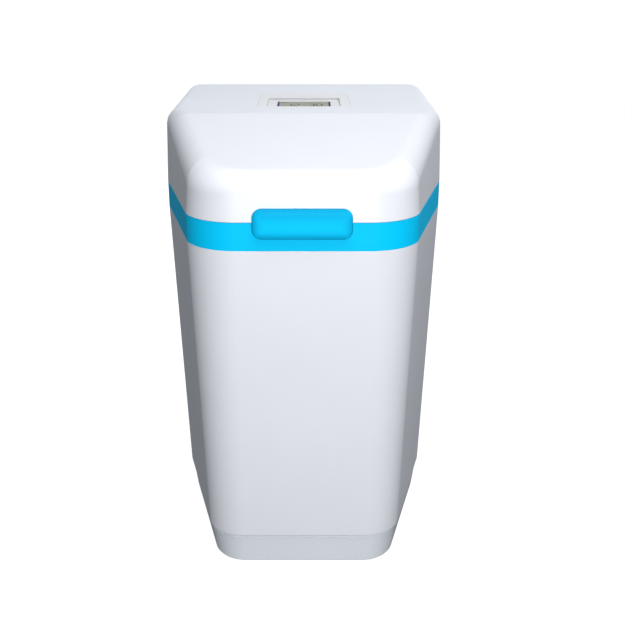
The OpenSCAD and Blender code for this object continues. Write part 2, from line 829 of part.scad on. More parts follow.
module knuckle(x0, x1, dir, bore) {
    difference() {
        union() {
            rod_x_dir(x0, hinge_y, hinge_z, knuckle_r, x1 - x0);
            block(x0, x1, body_d + slip, body_d + leaf_t, hinge_z + (dir > 0 ? lid_gap : -knuckle_r - over),
                hinge_z + (dir > 0 ? knuckle_r + over : -lid_gap));
            block(x0, x1, body_d + slip, hinge_y, hinge_z + (dir > 0 ? lid_gap : -knuckle_r),
                hinge_z + (dir > 0 ? knuckle_r : -lid_gap));
        }
        rod_x_dir(x0 - over, hinge_y, hinge_z, bore, x1 - x0 + 2 * over);
    }
}

module lid_hinge_leaves() color(white) in_frame() for (sx = [-1, 1]) translate([sx * hinge_x, 0, 0]) {
    leaf(1);
    knuckle(-mid_knuckle / 2, mid_knuckle / 2, 1, hinge_pin_r + running);
}

module cabinet_hinge_leaves() color(white) in_frame() for (sx = [-1, 1]) translate([sx * hinge_x, 0, 0]) {
    leaf(-1);
    for (s = [-1, 1]) {
        a = s * (mid_knuckle / 2 + knuckle_gap);
        b = s * hinge_w / 2;
        knuckle(min(a, b), max(a, b), -1, hinge_pin_r + snug);
    }
}

module hinge_pins() color(steel) in_frame() for (sx = [-1, 1])
    rod_x_dir(sx * hinge_x - hinge_w / 2, hinge_y, hinge_z, hinge_pin_r, hinge_w);

module leaf_screws(dir, hold) for (x = hinge_screw_x) {
    rod_y(x, body_d - hold, leaf_screw_z(dir), screw_r, hold + leaf_t + over);
    rod_y(x, body_d + leaf_t, leaf_screw_z(dir), leaf_screw_head_r, leaf_screw_head);
}

module hinge_screws() color(steel) in_frame() leaf_screws(-1, rear_wall);

module lid_hinge_screws() color(steel) in_frame() leaf_screws(1, lid_wall + over);

// Resin vessel

module resin_vessel() color(fibre_blue) in_frame() translate([0, vessel_y, vessel_z])
    rotate_extrude() difference() {
        polygon(concat([[0, 0]], vessel_side(vessel_r, vessel_flat_r, dome_h, vessel_h, neck_r),
            [[neck_r, vessel_h + neck_h], [0, vessel_h + neck_h]]));
        polygon(concat([[0, vessel_t]],
            [for (p = vessel_side(vessel_r - vessel_t, vessel_flat_r, dome_h, vessel_h - 2 * vessel_t,
                neck_bore_r)) [p.x, p.y + vessel_t]],
            [[neck_bore_r, vessel_h + neck_h + over], [0, vessel_h + neck_h + over]]));
    }

module vessel_foot() color(dark) in_frame() translate([0, vessel_y, floor_z]) difference() {
    cylinder(h = dome_h - foot_drop, r = vessel_r + foot_wall);
    translate([0, 0, vessel_foot_t]) cylinder(h = dome_h, r = vessel_r + slip);
}

module riser_tube() color(white) in_frame()
    tube(0, vessel_y, vessel_z + riser_lift, riser_r, riser_r - riser_wall,
        neck_z + riser_socket - vessel_z - riser_lift);

module slotted(z, h, r_out, r_in) {
    difference() {
        tube(0, vessel_y, z, r_out, r_in, h);
        for (k = [0:strainer_slots - 1])
            translate([0, vessel_y, z + h / 4]) rotate(turn / 2 * k / strainer_slots)
                translate([-r_out - over, -strainer_slot / 2, 0])
                    cube([2 * r_out + 2 * over, strainer_slot, h / 2]);
    }
}

module bottom_strainer() color(pale_grey) in_frame() {
    slotted(vessel_z + vessel_t + strainer_lift, strainer_h, riser_r + strainer_wall, riser_r + slip);
    post(0, vessel_y, vessel_z + vessel_t + strainer_seat, riser_r + strainer_wall, strainer_plug);
}

module top_strainer() color(pale_grey) in_frame()
    slotted(neck_z - top_strainer_h, top_strainer_h, neck_bore_r - top_strainer_gap, riser_r + slip);

module resin_bed() color(bead_brown) in_frame() translate([0, vessel_y, vessel_z + vessel_t])
    difference() {
        rotate_extrude() intersection() {
            polygon(concat([[0, slip]],
                [for (p = vessel_side(vessel_r - vessel_t - slip, vessel_flat_r, dome_h,
                    vessel_h - 2 * vessel_t, neck_bore_r)) [p.x, p.y + slip]], [[0, vessel_h]]));
            square([vessel_r, bed_h]);
        }
        translate([0, 0, -over])
            cylinder(h = strainer_lift + strainer_h + slip + 2 * over, r = riser_r + strainer_wall + slip);
        cylinder(h = bed_h + over, r = riser_r + slip);
    }

// Control valve

module valve_body() color(dark) in_frame() difference() {
    union() {
        post(0, vessel_y, neck_z - collar_h, collar_r, collar_h + base_t + over);
        block(-block_half, block_half, vessel_y - block_front, vessel_y + block_rear, block_z, chamber_z);
        post(0, rotor_y, chamber_z - over, chamber_r, base_z - chamber_z + over);
        for (sx = [-1, 1]) {
            rod_y(sx * port_pitch / 2, vessel_y, port_z, port_pipe_r, body_d - vessel_y);
            rod_y(sx * port_pitch / 2, vessel_y, port_z, port_r, body_d + port_reach - vessel_y);
        }
    }
    post(0, vessel_y, neck_z - collar_h - over, neck_r + slip, collar_h + over);
    tube(0, vessel_y, neck_z - over, neck_bore_r + oring_inset + oring_r + slip,
        neck_bore_r + oring_inset - oring_r - slip, 2 * oring_r + oring_room + over);
    post(0, vessel_y, neck_z - over, riser_r + slip, riser_socket + over);
    for (sx = [-1, 1]) {
        rod_y(sx * port_pitch / 2, rotor_y, port_z, port_bore_r, body_d + port_reach - rotor_y + over);
        post(sx * passage_x, rotor_y, port_z, passage_r, disc_z - port_z + over);
    }
    post(0, rotor_y, disc_z, chamber_bore_r, base_z - disc_z + over);
    rod_y(0, vessel_y + block_rear - socket, drain_z, drain_pipe_r + snug, socket + over);
    rod_x_dir(-block_half - over, connector_y, connector_z, connector_r - connector_step, socket + over);
    rod_x_dir(block_half - socket, connector_y, connector_z, connector_r, socket + over);
}

module neck_o_ring() color(dark) in_frame() translate([0, vessel_y, neck_z + oring_r + running])
    rotate_extrude() translate([neck_bore_r + oring_inset, 0]) circle(oring_r);

module disc_holes(z) {
    for (k = [0:disc_ports - 1]) translate([0, rotor_y, z - over]) rotate(turn * k / disc_ports)
        translate([passage_x, 0, 0]) cylinder(h = disc_t + 2 * over, r = disc_hole_r);
}

module fixed_disc() color(ceramic) in_frame() difference() {
    post(0, rotor_y, disc_z, disc_r, disc_t);
    disc_holes(disc_z);
}

module moving_disc() color(ceramic) in_frame() difference() {
    post(0, rotor_y, moving_z, disc_r, disc_t);
    translate([0, rotor_y, moving_z - over]) rotate_extrude(angle = channel_sweep)
        translate([passage_x - channel_w / 2, 0]) square([channel_w, over + disc_t / 2]);
}

module drive_gear() color(white) in_frame() translate([0, rotor_y, 0]) {
    post(0, 0, flange_z, flange_r, flange_t);
    post(0, 0, flange_z, shaft_r, cover_z + cover_t - flange_z);
    translate([0, 0, gear_z]) rotate(-90) linear_extrude(gear_t) polygon(gear_outline(gear_teeth));
}

module pinion() color(steel) in_frame() translate([0, pinion_y, 0]) {
    translate([0, 0, gear_z - pinion_over]) rotate(90 + turn / 2 / pinion_teeth)
        linear_extrude(gear_t + 2 * pinion_over) polygon(gear_outline(pinion_teeth));
    post(0, 0, gear_z, motor_shaft_r, cover_z + cover_t + motor_shaft_in - gear_z);
}

module motor() color(steel) in_frame() difference() {
    union() {
        post(0, pinion_y, cover_z + cover_t, motor_r, motor_h);
        post(0, pinion_y, cover_z + cover_t, motor_r + motor_flange, motor_flange_t);
    }
    post(0, pinion_y, cover_z + cover_t - over, motor_shaft_r + running, motor_shaft_in + 2 * over);
}

module gear_cover() color(pale_grey) in_frame() {
    difference() {
        block(cover_side - head_w / 2, head_w / 2 - cover_side, pinion_y - cover_front, rotor_y + cover_rear,
            cover_z, cover_z + cover_t);
        post(0, rotor_y, cover_z - over, shaft_r + running, cover_t + 2 * over);
        post(0, pinion_y, cover_z - over, motor_shaft_r + slip, cover_t + 2 * over);
    }
    for (p = cover_posts) post(p.x, p.y, head_z, cover_post_r, cover_z + over - head_z);
}

module injector_cap() color(dark) in_frame() {
    rod_x_dir(block_half - socket + over, connector_y, connector_z, connector_r - snug, socket - over);
    rod_x_dir(block_half, connector_y, connector_z, connector_r + cap_flange, cap_t);
}

module drain_tail() color(pale_grey) in_frame() difference() {
    union() {
        rod_y(0, vessel_y + block_rear - socket + over, drain_z, drain_pipe_r,
            body_d - vessel_y - block_rear + socket - over);
        rod_y(0, body_d - over, drain_z, drain_r, port_reach + over);
        rod_y(0, vessel_y + block_rear, drain_z, drain_pipe_r + drain_collar, drain_collar_t);
    }
    rod_y(0, vessel_y + block_rear - socket, drain_z, drain_bore_r, body_d + port_reach - vessel_y);
}

module brine_connector() color(pale_grey) in_frame() difference() {
    union() {
        rod_x_dir(-block_half - connector_len, connector_y, connector_z, connector_r, connector_len);
        rod_x_dir(-block_half - over, connector_y, connector_z, connector_r - connector_step - snug,
            socket);
    }
    rod_x_dir(-block_half - connector_len - over, connector_y, connector_z, tube_bore_r,
        connector_len + socket + 2 * over);
}

// Flow meter in the outlet: a spinning turbine on the cage's fixed axle

module meter_cage() color(white) in_frame() translate([port_pitch / 2, meter_y, port_z]) rotate([-90, 0, 0]) {
    tube(0, 0, 0, port_bore_r - snug, port_bore_r - cage_wall, cage_h);
    cylinder(h = hub_h, r = hub_r);
    for (k = [0:spokes - 1]) rotate(turn * k / spokes)
        translate([0, -spoke_w / 2, 0]) cube([port_bore_r - spoke_end, spoke_w, hub_h]);
    translate([0, 0, -axle_len]) cylinder(h = axle_len + axle_in, r = axle_r);
    translate([0, 0, -axle_len - axle_cap]) cylinder(h = axle_cap, r = axle_r + axle_cap_lip);
}

module meter_turbine() color(blue) in_frame()
    translate([port_pitch / 2, meter_y, port_z]) rotate([-90, 0, 0])
    translate([0, 0, -turbine_h - slip]) difference() {
        union() {
            cylinder(h = turbine_h, r = hub_r);
            for (k = [0:blades - 1]) rotate(turn * k / blades)
                translate([blade_root, 0, turbine_h / 2]) rotate([blade_pitch, 0, 0])
                    translate([0, -blade_t / 2, -blade_h / 2])
                        cube([port_bore_r - blade_gap - blade_root, blade_t, blade_h]);
        }
        translate([0, 0, -over]) cylinder(h = turbine_h + 2 * over, r = axle_r + running);
    }

// Control head

module head_plan(w, d, r) {
    translate([0, head_mid_y]) polygon(rounded(w, d, r));
}

module head_base() color(pale_grey) in_frame() difference() {
    union() {
        translate([0, 0, base_z]) linear_extrude(base_plate_t) head_plan(head_w, head_d, head_corner);
        post(0, rotor_y, base_z - boss_h, chamber_bore_r - slip, boss_h + over);
    }
    post(0, rotor_y, base_z - boss_h - over, shaft_r + running, boss_h + base_plate_t + 2 * over);
    for (p = head_screw_places)
        post(p.x, p.y, base_z - over, screw_r + snug, base_plate_t + 2 * over);
}

module head_cover() color(bezel_white) in_frame() difference() {
    union() {
        difference() {
            translate([0, 0, head_z]) linear_extrude(top_z - head_z) head_plan(head_w, head_d, head_corner);
            translate([0, 0, head_z - over]) linear_extrude(recess_z - panel_t - head_z + over)
                head_plan(head_w - 2 * head_wall, head_d - 2 * head_wall, head_corner - head_wall);
        }
        for (p = head_screw_places)
            post(p.x, p.y, head_z, boss_r, recess_z - head_z - panel_t / 2);
        for (sx = [-1, 1], sy = [-1, 1])
            post(sx * (pcb_w / 2 - pcb_post), pcb_y + sy * (pcb_d / 2 - pcb_post), pcb_z + pcb_t, post_r,
                recess_z - panel_t / 2 - pcb_z - pcb_t);
    }
    block(-recess_w / 2, recess_w / 2, recess_y0, recess_y0 + recess_d, recess_z, top_z + over);
    block(-lcd_w / 2 - lcd_fit, lcd_w / 2 + lcd_fit, lcd_y - lcd_d / 2 - lcd_fit, lcd_y + lcd_d / 2 + lcd_fit,
        recess_z - panel_t - over, recess_z + over);
    for (x = button_x)
        block(x - button_w / 2 - slip, x + button_w / 2 + slip, button_y - button_d / 2 - slip,
            button_y + button_d / 2 + slip, recess_z - panel_t - over, recess_z + over);
    for (p = head_screw_places) post(p.x, p.y, head_z - over, screw_r, head_screw_len + 2 * over);
}

module head_screws() color(steel) in_frame() for (p = head_screw_places) {
    post(p.x, p.y, base_z - head_screw_head, screw_head_r, head_screw_head);
    post(p.x, p.y, base_z - over, screw_r - snug, base_plate_t + head_screw_len + over);
}

module circuit_board() color(board_green) in_frame() {
    block(-pcb_w / 2, pcb_w / 2, pcb_y - pcb_d / 2, pcb_y + pcb_d / 2, pcb_z, pcb_z + pcb_t);
    for (x = button_x)
        block(x - switch_half, x + switch_half, button_y - switch_half, button_y + switch_half,
            pcb_z + pcb_t / 2, pcb_z + pcb_t + switch_h);
}

module display_glass() color(film_grey) in_frame()
    block(-lcd_w / 2, lcd_w / 2, lcd_y - lcd_d / 2, lcd_y + lcd_d / 2, pcb_z + pcb_t, recess_z - lcd_sunk);

module button(k) color(pale_grey) in_frame() translate([button_x[k], button_y, 0]) {
    z = recess_z - panel_t - slip;
    w = button_w / 2;
    d = button_d / 2;
    f = button_flange;
    block(-w, w, -d, d, z - button_flange_t / 2, recess_z + button_proud);
    block(-w - f, w + f, -d - f, d + f, z - button_flange_t, z);
    post(0, 0, z - button_flange_t - stem_h, stem_r, stem_h + over / 2);
}

module button_1() button(0);
module button_2() button(1);
module button_3() button(2);
module button_4() button(3);

// Brine system

module brine_well() color(white) in_frame() difference() {
    tube(-well_x, well_y, floor_z, well_r, well_bore_r, well_h);
    for (k = [0:well_slots - 1])
        translate([-well_x, well_y, floor_z + well_slot_lift]) rotate(turn / 2 * k / well_slots)
            translate([-well_r - over, -well_slot_w / 2, 0])
                cube([2 * well_r + 2 * over, well_slot_w, well_slot_h]);
    rod_y(pickup_x, well_y, spigot_z, spigot_r + slip, well_r + over);
}

module well_cap() color(blue) in_frame() {
    post(-well_x, well_y, well_top, well_r + well_cap_lip, well_cap_t);
    tube(-well_x, well_y, well_top - plug_h, well_bore_r - plug_fit, well_bore_r - plug_fit - plug_wall,
        plug_h + over);
}

module safety_valve() color(dark) in_frame() difference() {
    union() {
        intersection() {
            post(-well_x, well_y, bar_z, well_bore_r - plug_fit, bar_h);
            block(-well_x - well_r, -well_x + well_r, well_y - bar_half, well_y + bar_half,
                bar_z, bar_z + bar_h);
        }
        rod_y(pickup_x, well_y, spigot_z, spigot_r, spigot_y - well_y);
    }
    rod_y(pickup_x, well_y, spigot_z, tube_bore_r, spigot_y - well_y + over);
    post(pickup_x, well_y, bar_z - over, pickup_r, pickup_socket + over);
    post(rod_x, well_y, bar_z - over, rod_r + running, bar_h + 2 * over);
}

module pickup_tube() color(white) in_frame()
    tube(pickup_x, well_y, check_z + check_h - pickup_socket, pickup_r - snug, pickup_r - pickup_wall,
        bar_z - pickup_short - check_z - check_h + 2 * pickup_socket);

module air_check() color(dark) in_frame() difference() {
    union() {
        post(pickup_x, well_y, check_z, check_r, check_h);
        block(pickup_x, rod_x + guide_reach, well_y - guide_half, well_y + guide_half,
            check_z + check_h - guide_h, check_z + check_h);
        post(pickup_x, well_y, floor_z, check_r - check_foot, check_lift + over);
    }
    post(pickup_x, well_y, check_z + check_h - pickup_socket, pickup_r, pickup_socket + over);
    post(rod_x, well_y, check_z + check_h - guide_h - over, rod_r + running, guide_h + 2 * over);
}

module float() color(float_orange) in_frame() difference() {
    post(rod_x, well_y, float_z, float_r, float_h);
    post(rod_x, well_y, float_z - over, rod_r + snug, float_h + 2 * over);
}

module float_rod() color(steel) in_frame() {
    post(rod_x, well_y, rod_z0, rod_r, rod_z1 - rod_z0);
    for (z = [check_z + check_h + slip, float_z - collar_t, float_z + float_h])
        post(rod_x, well_y, z, rod_r + collar_t, collar_t);
}

// Brine tube: straight back from the safety valve, then one bend round to the control valve
tube_turn_y = connector_y - tube_bend;
tube_sides = 10;
straight_steps = 4;
bend_steps = 6;
tube_rise = connector_z - spigot_z;
tube_path = concat(
    [for (k = [0:straight_steps - 1])
        [pickup_x, spigot_y + (tube_turn_y - spigot_y) * k / straight_steps, quarter]],
    [for (k = [0:bend_steps]) let (a = quarter * k / bend_steps)
        [pickup_x + tube_bend * (1 - cos(a)), tube_turn_y + tube_bend * sin(a), quarter - a]],
    [[tube_end_x, connector_y, 0]]);
tube_last = len(tube_path) - 1;
function tube_z(k) = spigot_z + tube_rise * (1 - cos(turn / 2 * k / tube_last)) / 2;
function tube_ring(k, r) = let (p = tube_path[k], z = tube_z(k))
    [for (s = [0:tube_sides - 1]) let (a = turn * s / tube_sides)
        [p.x + r * cos(a) * sin(p.z), p.y - r * cos(a) * cos(p.z), z + r * sin(a)]];
function tube_walls(offset, flip) = [for (k = [0:tube_last - 1], s = [0:tube_sides - 1])
    let (a = offset + k * tube_sides + s, b = offset + k * tube_sides + (s + 1) % tube_sides)
    flip ? [a + tube_sides, b + tube_sides, b, a] : [a, b, b + tube_sides, a + tube_sides]];
tube_inner = (tube_last + 1) * tube_sides;
function tube_end(k, flip) = [for (s = [0:tube_sides - 1])
    let (a = k * tube_sides + s, b = k * tube_sides + (s + 1) % tube_sides)
    flip ? [a, b, b + tube_inner, a + tube_inner] : [b, a, a + tube_inner, b + tube_inner]];

module brine_tube() color(tube_white) in_frame() polyhedron(
    concat([for (k = [0:tube_last]) each tube_ring(k, tube_r)],
        [for (k = [0:tube_last]) each tube_ring(k, tube_bore_r)]),
    concat(tube_walls(0, false), tube_walls(tube_inner, true),
        tube_end(0, false), tube_end(tube_last, true)));

cabinet();
base_plinth();
feet();
trim_band();
rim_seal();
rear_port_plate();
plate_screws();
overflow_fitting();
overflow_washer();
overflow_nut();
power_inlet();
salt_grid();
lid();
lid_handle();
handle_screws();
lid_hinge_leaves();
cabinet_hinge_leaves();
hinge_pins();
hinge_screws();
lid_hinge_screws();
resin_vessel();
vessel_foot();
riser_tube();
bottom_strainer();
top_strainer();
resin_bed();
valve_body();
neck_o_ring();
fixed_disc();
moving_disc();
drive_gear();
pinion();
motor();
gear_cover();
injector_cap();
drain_tail();
brine_connector();
meter_cage();
meter_turbine();
head_base();
head_cover();
head_screws();
circuit_board();
display_glass();
button_1();
button_2();
button_3();
button_4();
brine_well();
well_cap();
safety_valve();
pickup_tube();
air_check();
float();
float_rod();
brine_tube();
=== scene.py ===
"""Looks of the cabinet water softener: smooth shells, display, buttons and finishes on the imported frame."""

import json
from math import copysign, cos, pi, radians, sin, tan

import bmesh
import bpy
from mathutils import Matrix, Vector


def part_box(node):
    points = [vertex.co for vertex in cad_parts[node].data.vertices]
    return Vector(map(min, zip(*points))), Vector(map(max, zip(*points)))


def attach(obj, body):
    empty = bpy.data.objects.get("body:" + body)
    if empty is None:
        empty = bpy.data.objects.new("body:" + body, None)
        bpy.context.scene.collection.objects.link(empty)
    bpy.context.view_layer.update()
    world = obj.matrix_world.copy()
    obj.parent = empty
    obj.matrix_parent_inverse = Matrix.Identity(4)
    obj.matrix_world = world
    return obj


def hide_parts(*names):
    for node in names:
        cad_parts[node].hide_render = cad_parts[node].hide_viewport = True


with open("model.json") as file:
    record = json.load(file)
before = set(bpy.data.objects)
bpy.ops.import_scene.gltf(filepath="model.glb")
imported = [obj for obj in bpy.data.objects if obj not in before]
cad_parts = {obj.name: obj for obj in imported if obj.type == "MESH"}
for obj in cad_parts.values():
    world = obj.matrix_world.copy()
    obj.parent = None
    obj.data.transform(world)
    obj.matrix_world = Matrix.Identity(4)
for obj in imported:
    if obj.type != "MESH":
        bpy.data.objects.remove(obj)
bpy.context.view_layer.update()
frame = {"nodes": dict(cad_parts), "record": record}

NODES = frame["nodes"]
MM = 0.001

# Levels and faces taken from the frame
cabinet_lo, cabinet_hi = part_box("cabinet")
plinth_lo, plinth_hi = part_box("base_plinth")
band_lo, band_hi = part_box("trim_band")
lid_lo, lid_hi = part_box("lid")
handle_lo, handle_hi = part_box("lid_handle")
head_lo, head_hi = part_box("head_cover")
glass_lo, glass_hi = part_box("display_glass")
plate_lo, plate_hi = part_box("rear_port_plate")
HALF_W = band_hi.x
FRONT_Y = band_lo.y
REAR_Y = band_hi.y

# Plan of the cabinet
NOSE_HALF = 70 * MM
CORNER_R = 59 * MM
CORNER_SWEEP = radians(66)
WIDE_Y = 191 * MM
REAR_R = 24 * MM
SOFT_EDGE = 2 * MM
SOFT_WIDE = 6 * MM
NOSE_STEPS = 7
ARC_STEPS = 22
REAR_STEPS = 12
BLEND_STEPS = 4

# Cabinet walls
BODY_TAPER = 12.3 * MM
WALL = 3 * MM
SKIRT_H = 10.35 * MM
SKIRT_RISE = 2.9 * MM
SKIRT_EDGE = 2.4 * MM
SHELL_EDGE = 0.5 * MM
FLOOR_T = 4 * MM
RIM_IN = 3.2 * MM
RIM_WALL = 3 * MM
RIM_EDGE = 0.8 * MM
REAR_WALL = RIM_IN + RIM_WALL
NOTCH_Y = 145 * MM
NOTCH_LEN = 150 * MM
NOTCH_H = 6.3 * MM
PLATE_LAP = 8 * MM

# Plinth and band; the plinth's sides draw in towards the floor
PLINTH_INSET = 2.4 * MM
PLINTH_WALL = 4 * MM
PLINTH_H = 32 * MM
PLINTH_RISE = 1.4 * MM
PLINTH_TAPER = 4.6 * MM
TAPER_RUN = 40 * MM
PLINTH_FOOT_EDGE = 2 * MM
PLINTH_TOP_EDGE = 0.4 * MM
SKIRT_FIT = 0.5 * MM
BAND_T = 3 * MM
BAND_EDGE = 0.5 * MM

# Lid
LID_WALL = 3 * MM
LID_TAPER = 2.4 * MM
LID_RIM_EDGE = 0.5 * MM
LID_EDGE_R = 16 * MM
CORNER_EDGE_R = 28 * MM
CREASE_EDGE_R = 24 * MM
EDGE_GROWS_X = 40 * MM
EDGE_ENDS_Y = 200 * MM
EDGE_STEPS = 14
CREASE_Y = FRONT_Y + 164.4 * MM
CREASE_SOFT = 2.5 * MM
SLOPE = radians(12.9)
WINDOW_GAP = 0.15 * MM
WINDOW_EDGE = 0.2 * MM
SWING_GAP = 1.3 * MM

# Handle
HANDLE_R = 10 * MM
HANDLE_LEAST_R = 0.3 * MM
HANDLE_EDGE = 2.6 * MM
HANDLE_CROWN = 0.7 * MM
HANDLE_SOFT = 8 * MM
# Widths over which the handle's painted shade darkens its colour from the sides and bottom, and from the top
HANDLE_VIGNETTE = 12 * MM
HANDLE_TOP_VIGNETTE = 16 * MM
HANDLE_FLAT = (10 * MM, HANDLE_VIGNETTE, 14 * MM)
HANDLE_STEPS = 8
HANDLE_CORNER_STEPS = 10
BAND_CLEAR = 0.6 * MM

# Display head; a face of the recess is a wall where its normal leans past STEEP
HEAD_CORNER = 5 * MM
HEAD_WALL = 2.5 * MM
HEAD_EDGE = 0.3 * MM
RECESS_W = 88.8 * MM
RECESS_D = 67.8 * MM
RECESS_FRONT = 2.3 * MM
RECESS_DEPTH = 2.6 * MM
RECESS_R = 2.5 * MM
POCKET_FIT = 0.3 * MM
GLASS_POCKET_R = 0.6 * MM
BUTTON_POCKET_R = 1.6 * MM
STEEP = 0.5

# Display and the marks on it
GLASS_R = 0.5 * MM
GLASS_EDGE = 0.25 * MM
GLASS_SINK = 0.08 * MM
GLASS_STEPS = 4
MARK_LIFT = 0.03 * MM
STRIP_W = 2 * MM
STRIP_MARGIN = 0.3 * MM
STRIP_END = 0.4 * MM
STRIP_R = 0.3 * MM
CLOCK_MARGIN = 11 * MM
CLOCK_BASE = 4.5 * MM
CLOCK_H = 18 * MM
COUNT_MARGIN = 5 * MM
COUNT_H = 8 * MM

# Digits, in shares of their height; the gap and the dot's length are shares of a bar's width
DIGIT_W = 0.34
DIGIT_BAR = 0.085
DIGIT_PITCH = 0.52
BAR_GAP = 0.3
DOT_LENGTH = 1.2
DOT_PLACES = (0.3, 0.7)

# Buttons
BUTTONS = 4
BUTTON_FLANGE = 1 * MM
BUTTON_FLANGE_T = 1.1 * MM
BUTTON_R = 1.3 * MM
BUTTON_LEAST_R = 0.05 * MM
BUTTON_EDGE = 0.5 * MM
BUTTON_CROWN = 0.25 * MM
CROWN_SHARES = (0.35, 0.7, 0.95)
STEM_H = 1.6 * MM
STEM_R = 2 * MM

# Screws; the rim and the cross recess are shares of a head's height and radius
SCREW_R = 1.7 * MM
LEAF_SCREW_HEAD = 1.2 * MM
HANDLE_SCREW_HEAD = 2.2 * MM
PLATE_SCREW_HEAD = 2 * MM
HEAD_SCREW_HEAD = 2.4 * MM
SCREW_SIDES = 32
DOME_END = radians(80)
DOME_STEPS = 6
HEAD_RIM = 0.35
CROSS_DEPTH = 0.6
CROSS_HALF = 0.6
CROSS_BAR = 0.13

# Hose tails; a barb's foot, crest and slope are shares of its pitch
BARBS = 3
BARB = 0.9 * MM
BARB_FOOT = 0.6
CREST_START = 0.12
CREST_END = 0.2
SLOPE_END = 0.95
TIP_EDGE = 0.6 * MM
COLLAR_T = 8 * MM
COLLAR_EDGE = 0.8 * MM
DRAIN_SOCKET = 11 * MM
DRAIN_BORE = 4.5 * MM
DRAIN_PIPE = 7.4 * MM
DRAIN_TAIL = 6.4 * MM
OVERFLOW_BORE = 6 * MM
OVERFLOW_TAIL = 8 * MM
FLANGE_T = 4 * MM
THREAD_R = 10 * MM
THREAD_OUT = 9.5 * MM
THREAD_PITCH = 1.5 * MM
THREAD_DEEP = 0.7 * MM

# Brine well's cap and tube
CAP_T = 4 * MM
CAP_RIBS = 40
CAP_DIP = 0.8 * MM
CAP_EDGE = 1.2 * MM
CAP_FOOT = 0.5 * MM
CAP_RIM = 5 * MM
CAP_DISH = 2.5 * MM
CAP_GRIP = 34 * MM
CAP_BAR = 9 * MM
CAP_BAR_EDGE = 1.5 * MM
PLUG_R = 35.3 * MM
PLUG_T = 2 * MM
TUBE_R = 4.75 * MM
TUBE_BEND = 42 * MM
TUBE_SIDES = 10
TUBE_STRAIGHT = 4
TUBE_TURN = 6
TUBE_FINE = 3
TUBE_FACES = 24

# Distances within which vertices are one
WELD = 1e-7
NODE_WELD = 1e-6

# Photograph's view: focal length in pixels of its square frame, and the optical axis's pixel offset
PHOTO_SIDE = 632
FOCAL_PIXELS = 956.7
AXIS_OFFSET = 4.45
SENSOR = 36
CAMERA_PLACE = (9.4 * MM, -1173.8 * MM, 689.3 * MM)
CAMERA_PITCH = radians(21.145)
CLIP_NEAR = 0.05
CLIP_FAR = 100

# Studio lights: name, place, target, size, watts, shows in gloss, colour
WHITE = (1, 1, 1)
PALE_BLUE = (0.78, 0.9, 1)
LIGHTS = [
    ("front", (0.13, -1.6, 0.6), (0, -0.1, 0.38), (0.5, 0.5), 16.4, True, WHITE),
    ("top_front", (0.3, -0.42, 1.8), (0, -0.1, 0.4), (1.2, 1.0), 19.6, True, WHITE),
    ("back", (0.15, 2.1, 0.78), (0, 0.1, 0.5), (2.0, 0.5), 4.6, True, PALE_BLUE),
    ("rear_-1", (-1.0, 1.7, 0.5), (0, 0.1, 0.3), (0.8, 0.8), 12, False, WHITE),
    ("rear_1", (1.0, 1.7, 0.5), (0, 0.1, 0.3), (0.8, 0.8), 12, False, WHITE),
]
WORLD_COLOUR = (0.86, 0.94, 1.0, 1)
WORLD_STRENGTH = 0.15

# Studio floor
FLOOR_HUB = 0.02
FLOOR_RADIUS = 5.0
FLOOR_RISE = 2.0
FLOOR_TOP = 6.0
FLOOR_STEPS = 10
FLOOR_SIDES = 64
FLOOR_COLOUR = (0.2, 0.2, 0.2, 1)
FLOOR_ROUGH = 0.9
FLOOR_GLOW = 0.97

# Shares of a tint's factor between which its colour changes
TINT_START = 0.3
TINT_END = 0.7


# Camera, light and floor


def make_camera():
    data = bpy.data.cameras.new("photo_camera")
    data.sensor_width = SENSOR
    data.lens = SENSOR * FOCAL_PIXELS / PHOTO_SIDE
    data.shift_x = AXIS_OFFSET / PHOTO_SIDE
    data.clip_start = CLIP_NEAR
    data.clip_end = CLIP_FAR
    camera = bpy.data.objects.new("photo_camera", data)
    camera.location = CAMERA_PLACE
    camera.rotation_euler = (pi / 2 - CAMERA_PITCH, 0, 0)
    bpy.context.scene.collection.objects.link(camera)
    bpy.context.scene.camera = camera


def area_light(name, place, target, size, watts, glossy, colour):
    data = bpy.data.lights.new(name, "AREA")
    data.color = colour
    data.shape = "RECTANGLE"
    data.size, data.size_y = size
    data.energy = watts
    light = bpy.data.objects.new(name, data)
    light.location = place
    light.rotation_euler = (Vector(target) - Vector(place)).to_track_quat("-Z", "Y").to_euler()
    light.visible_camera = False
    light.visible_glossy = glossy
    bpy.context.scene.collection.objects.link(light)


def make_lights():
    for row in LIGHTS:
        area_light(*row)
    world = bpy.data.worlds.new("studio")
    bpy.context.scene.world = world
    world.use_nodes = True
    background = world.node_tree.nodes["Background"]
    background.inputs["Color"].default_value = WORLD_COLOUR
    background.inputs["Strength"].default_value = WORLD_STRENGTH


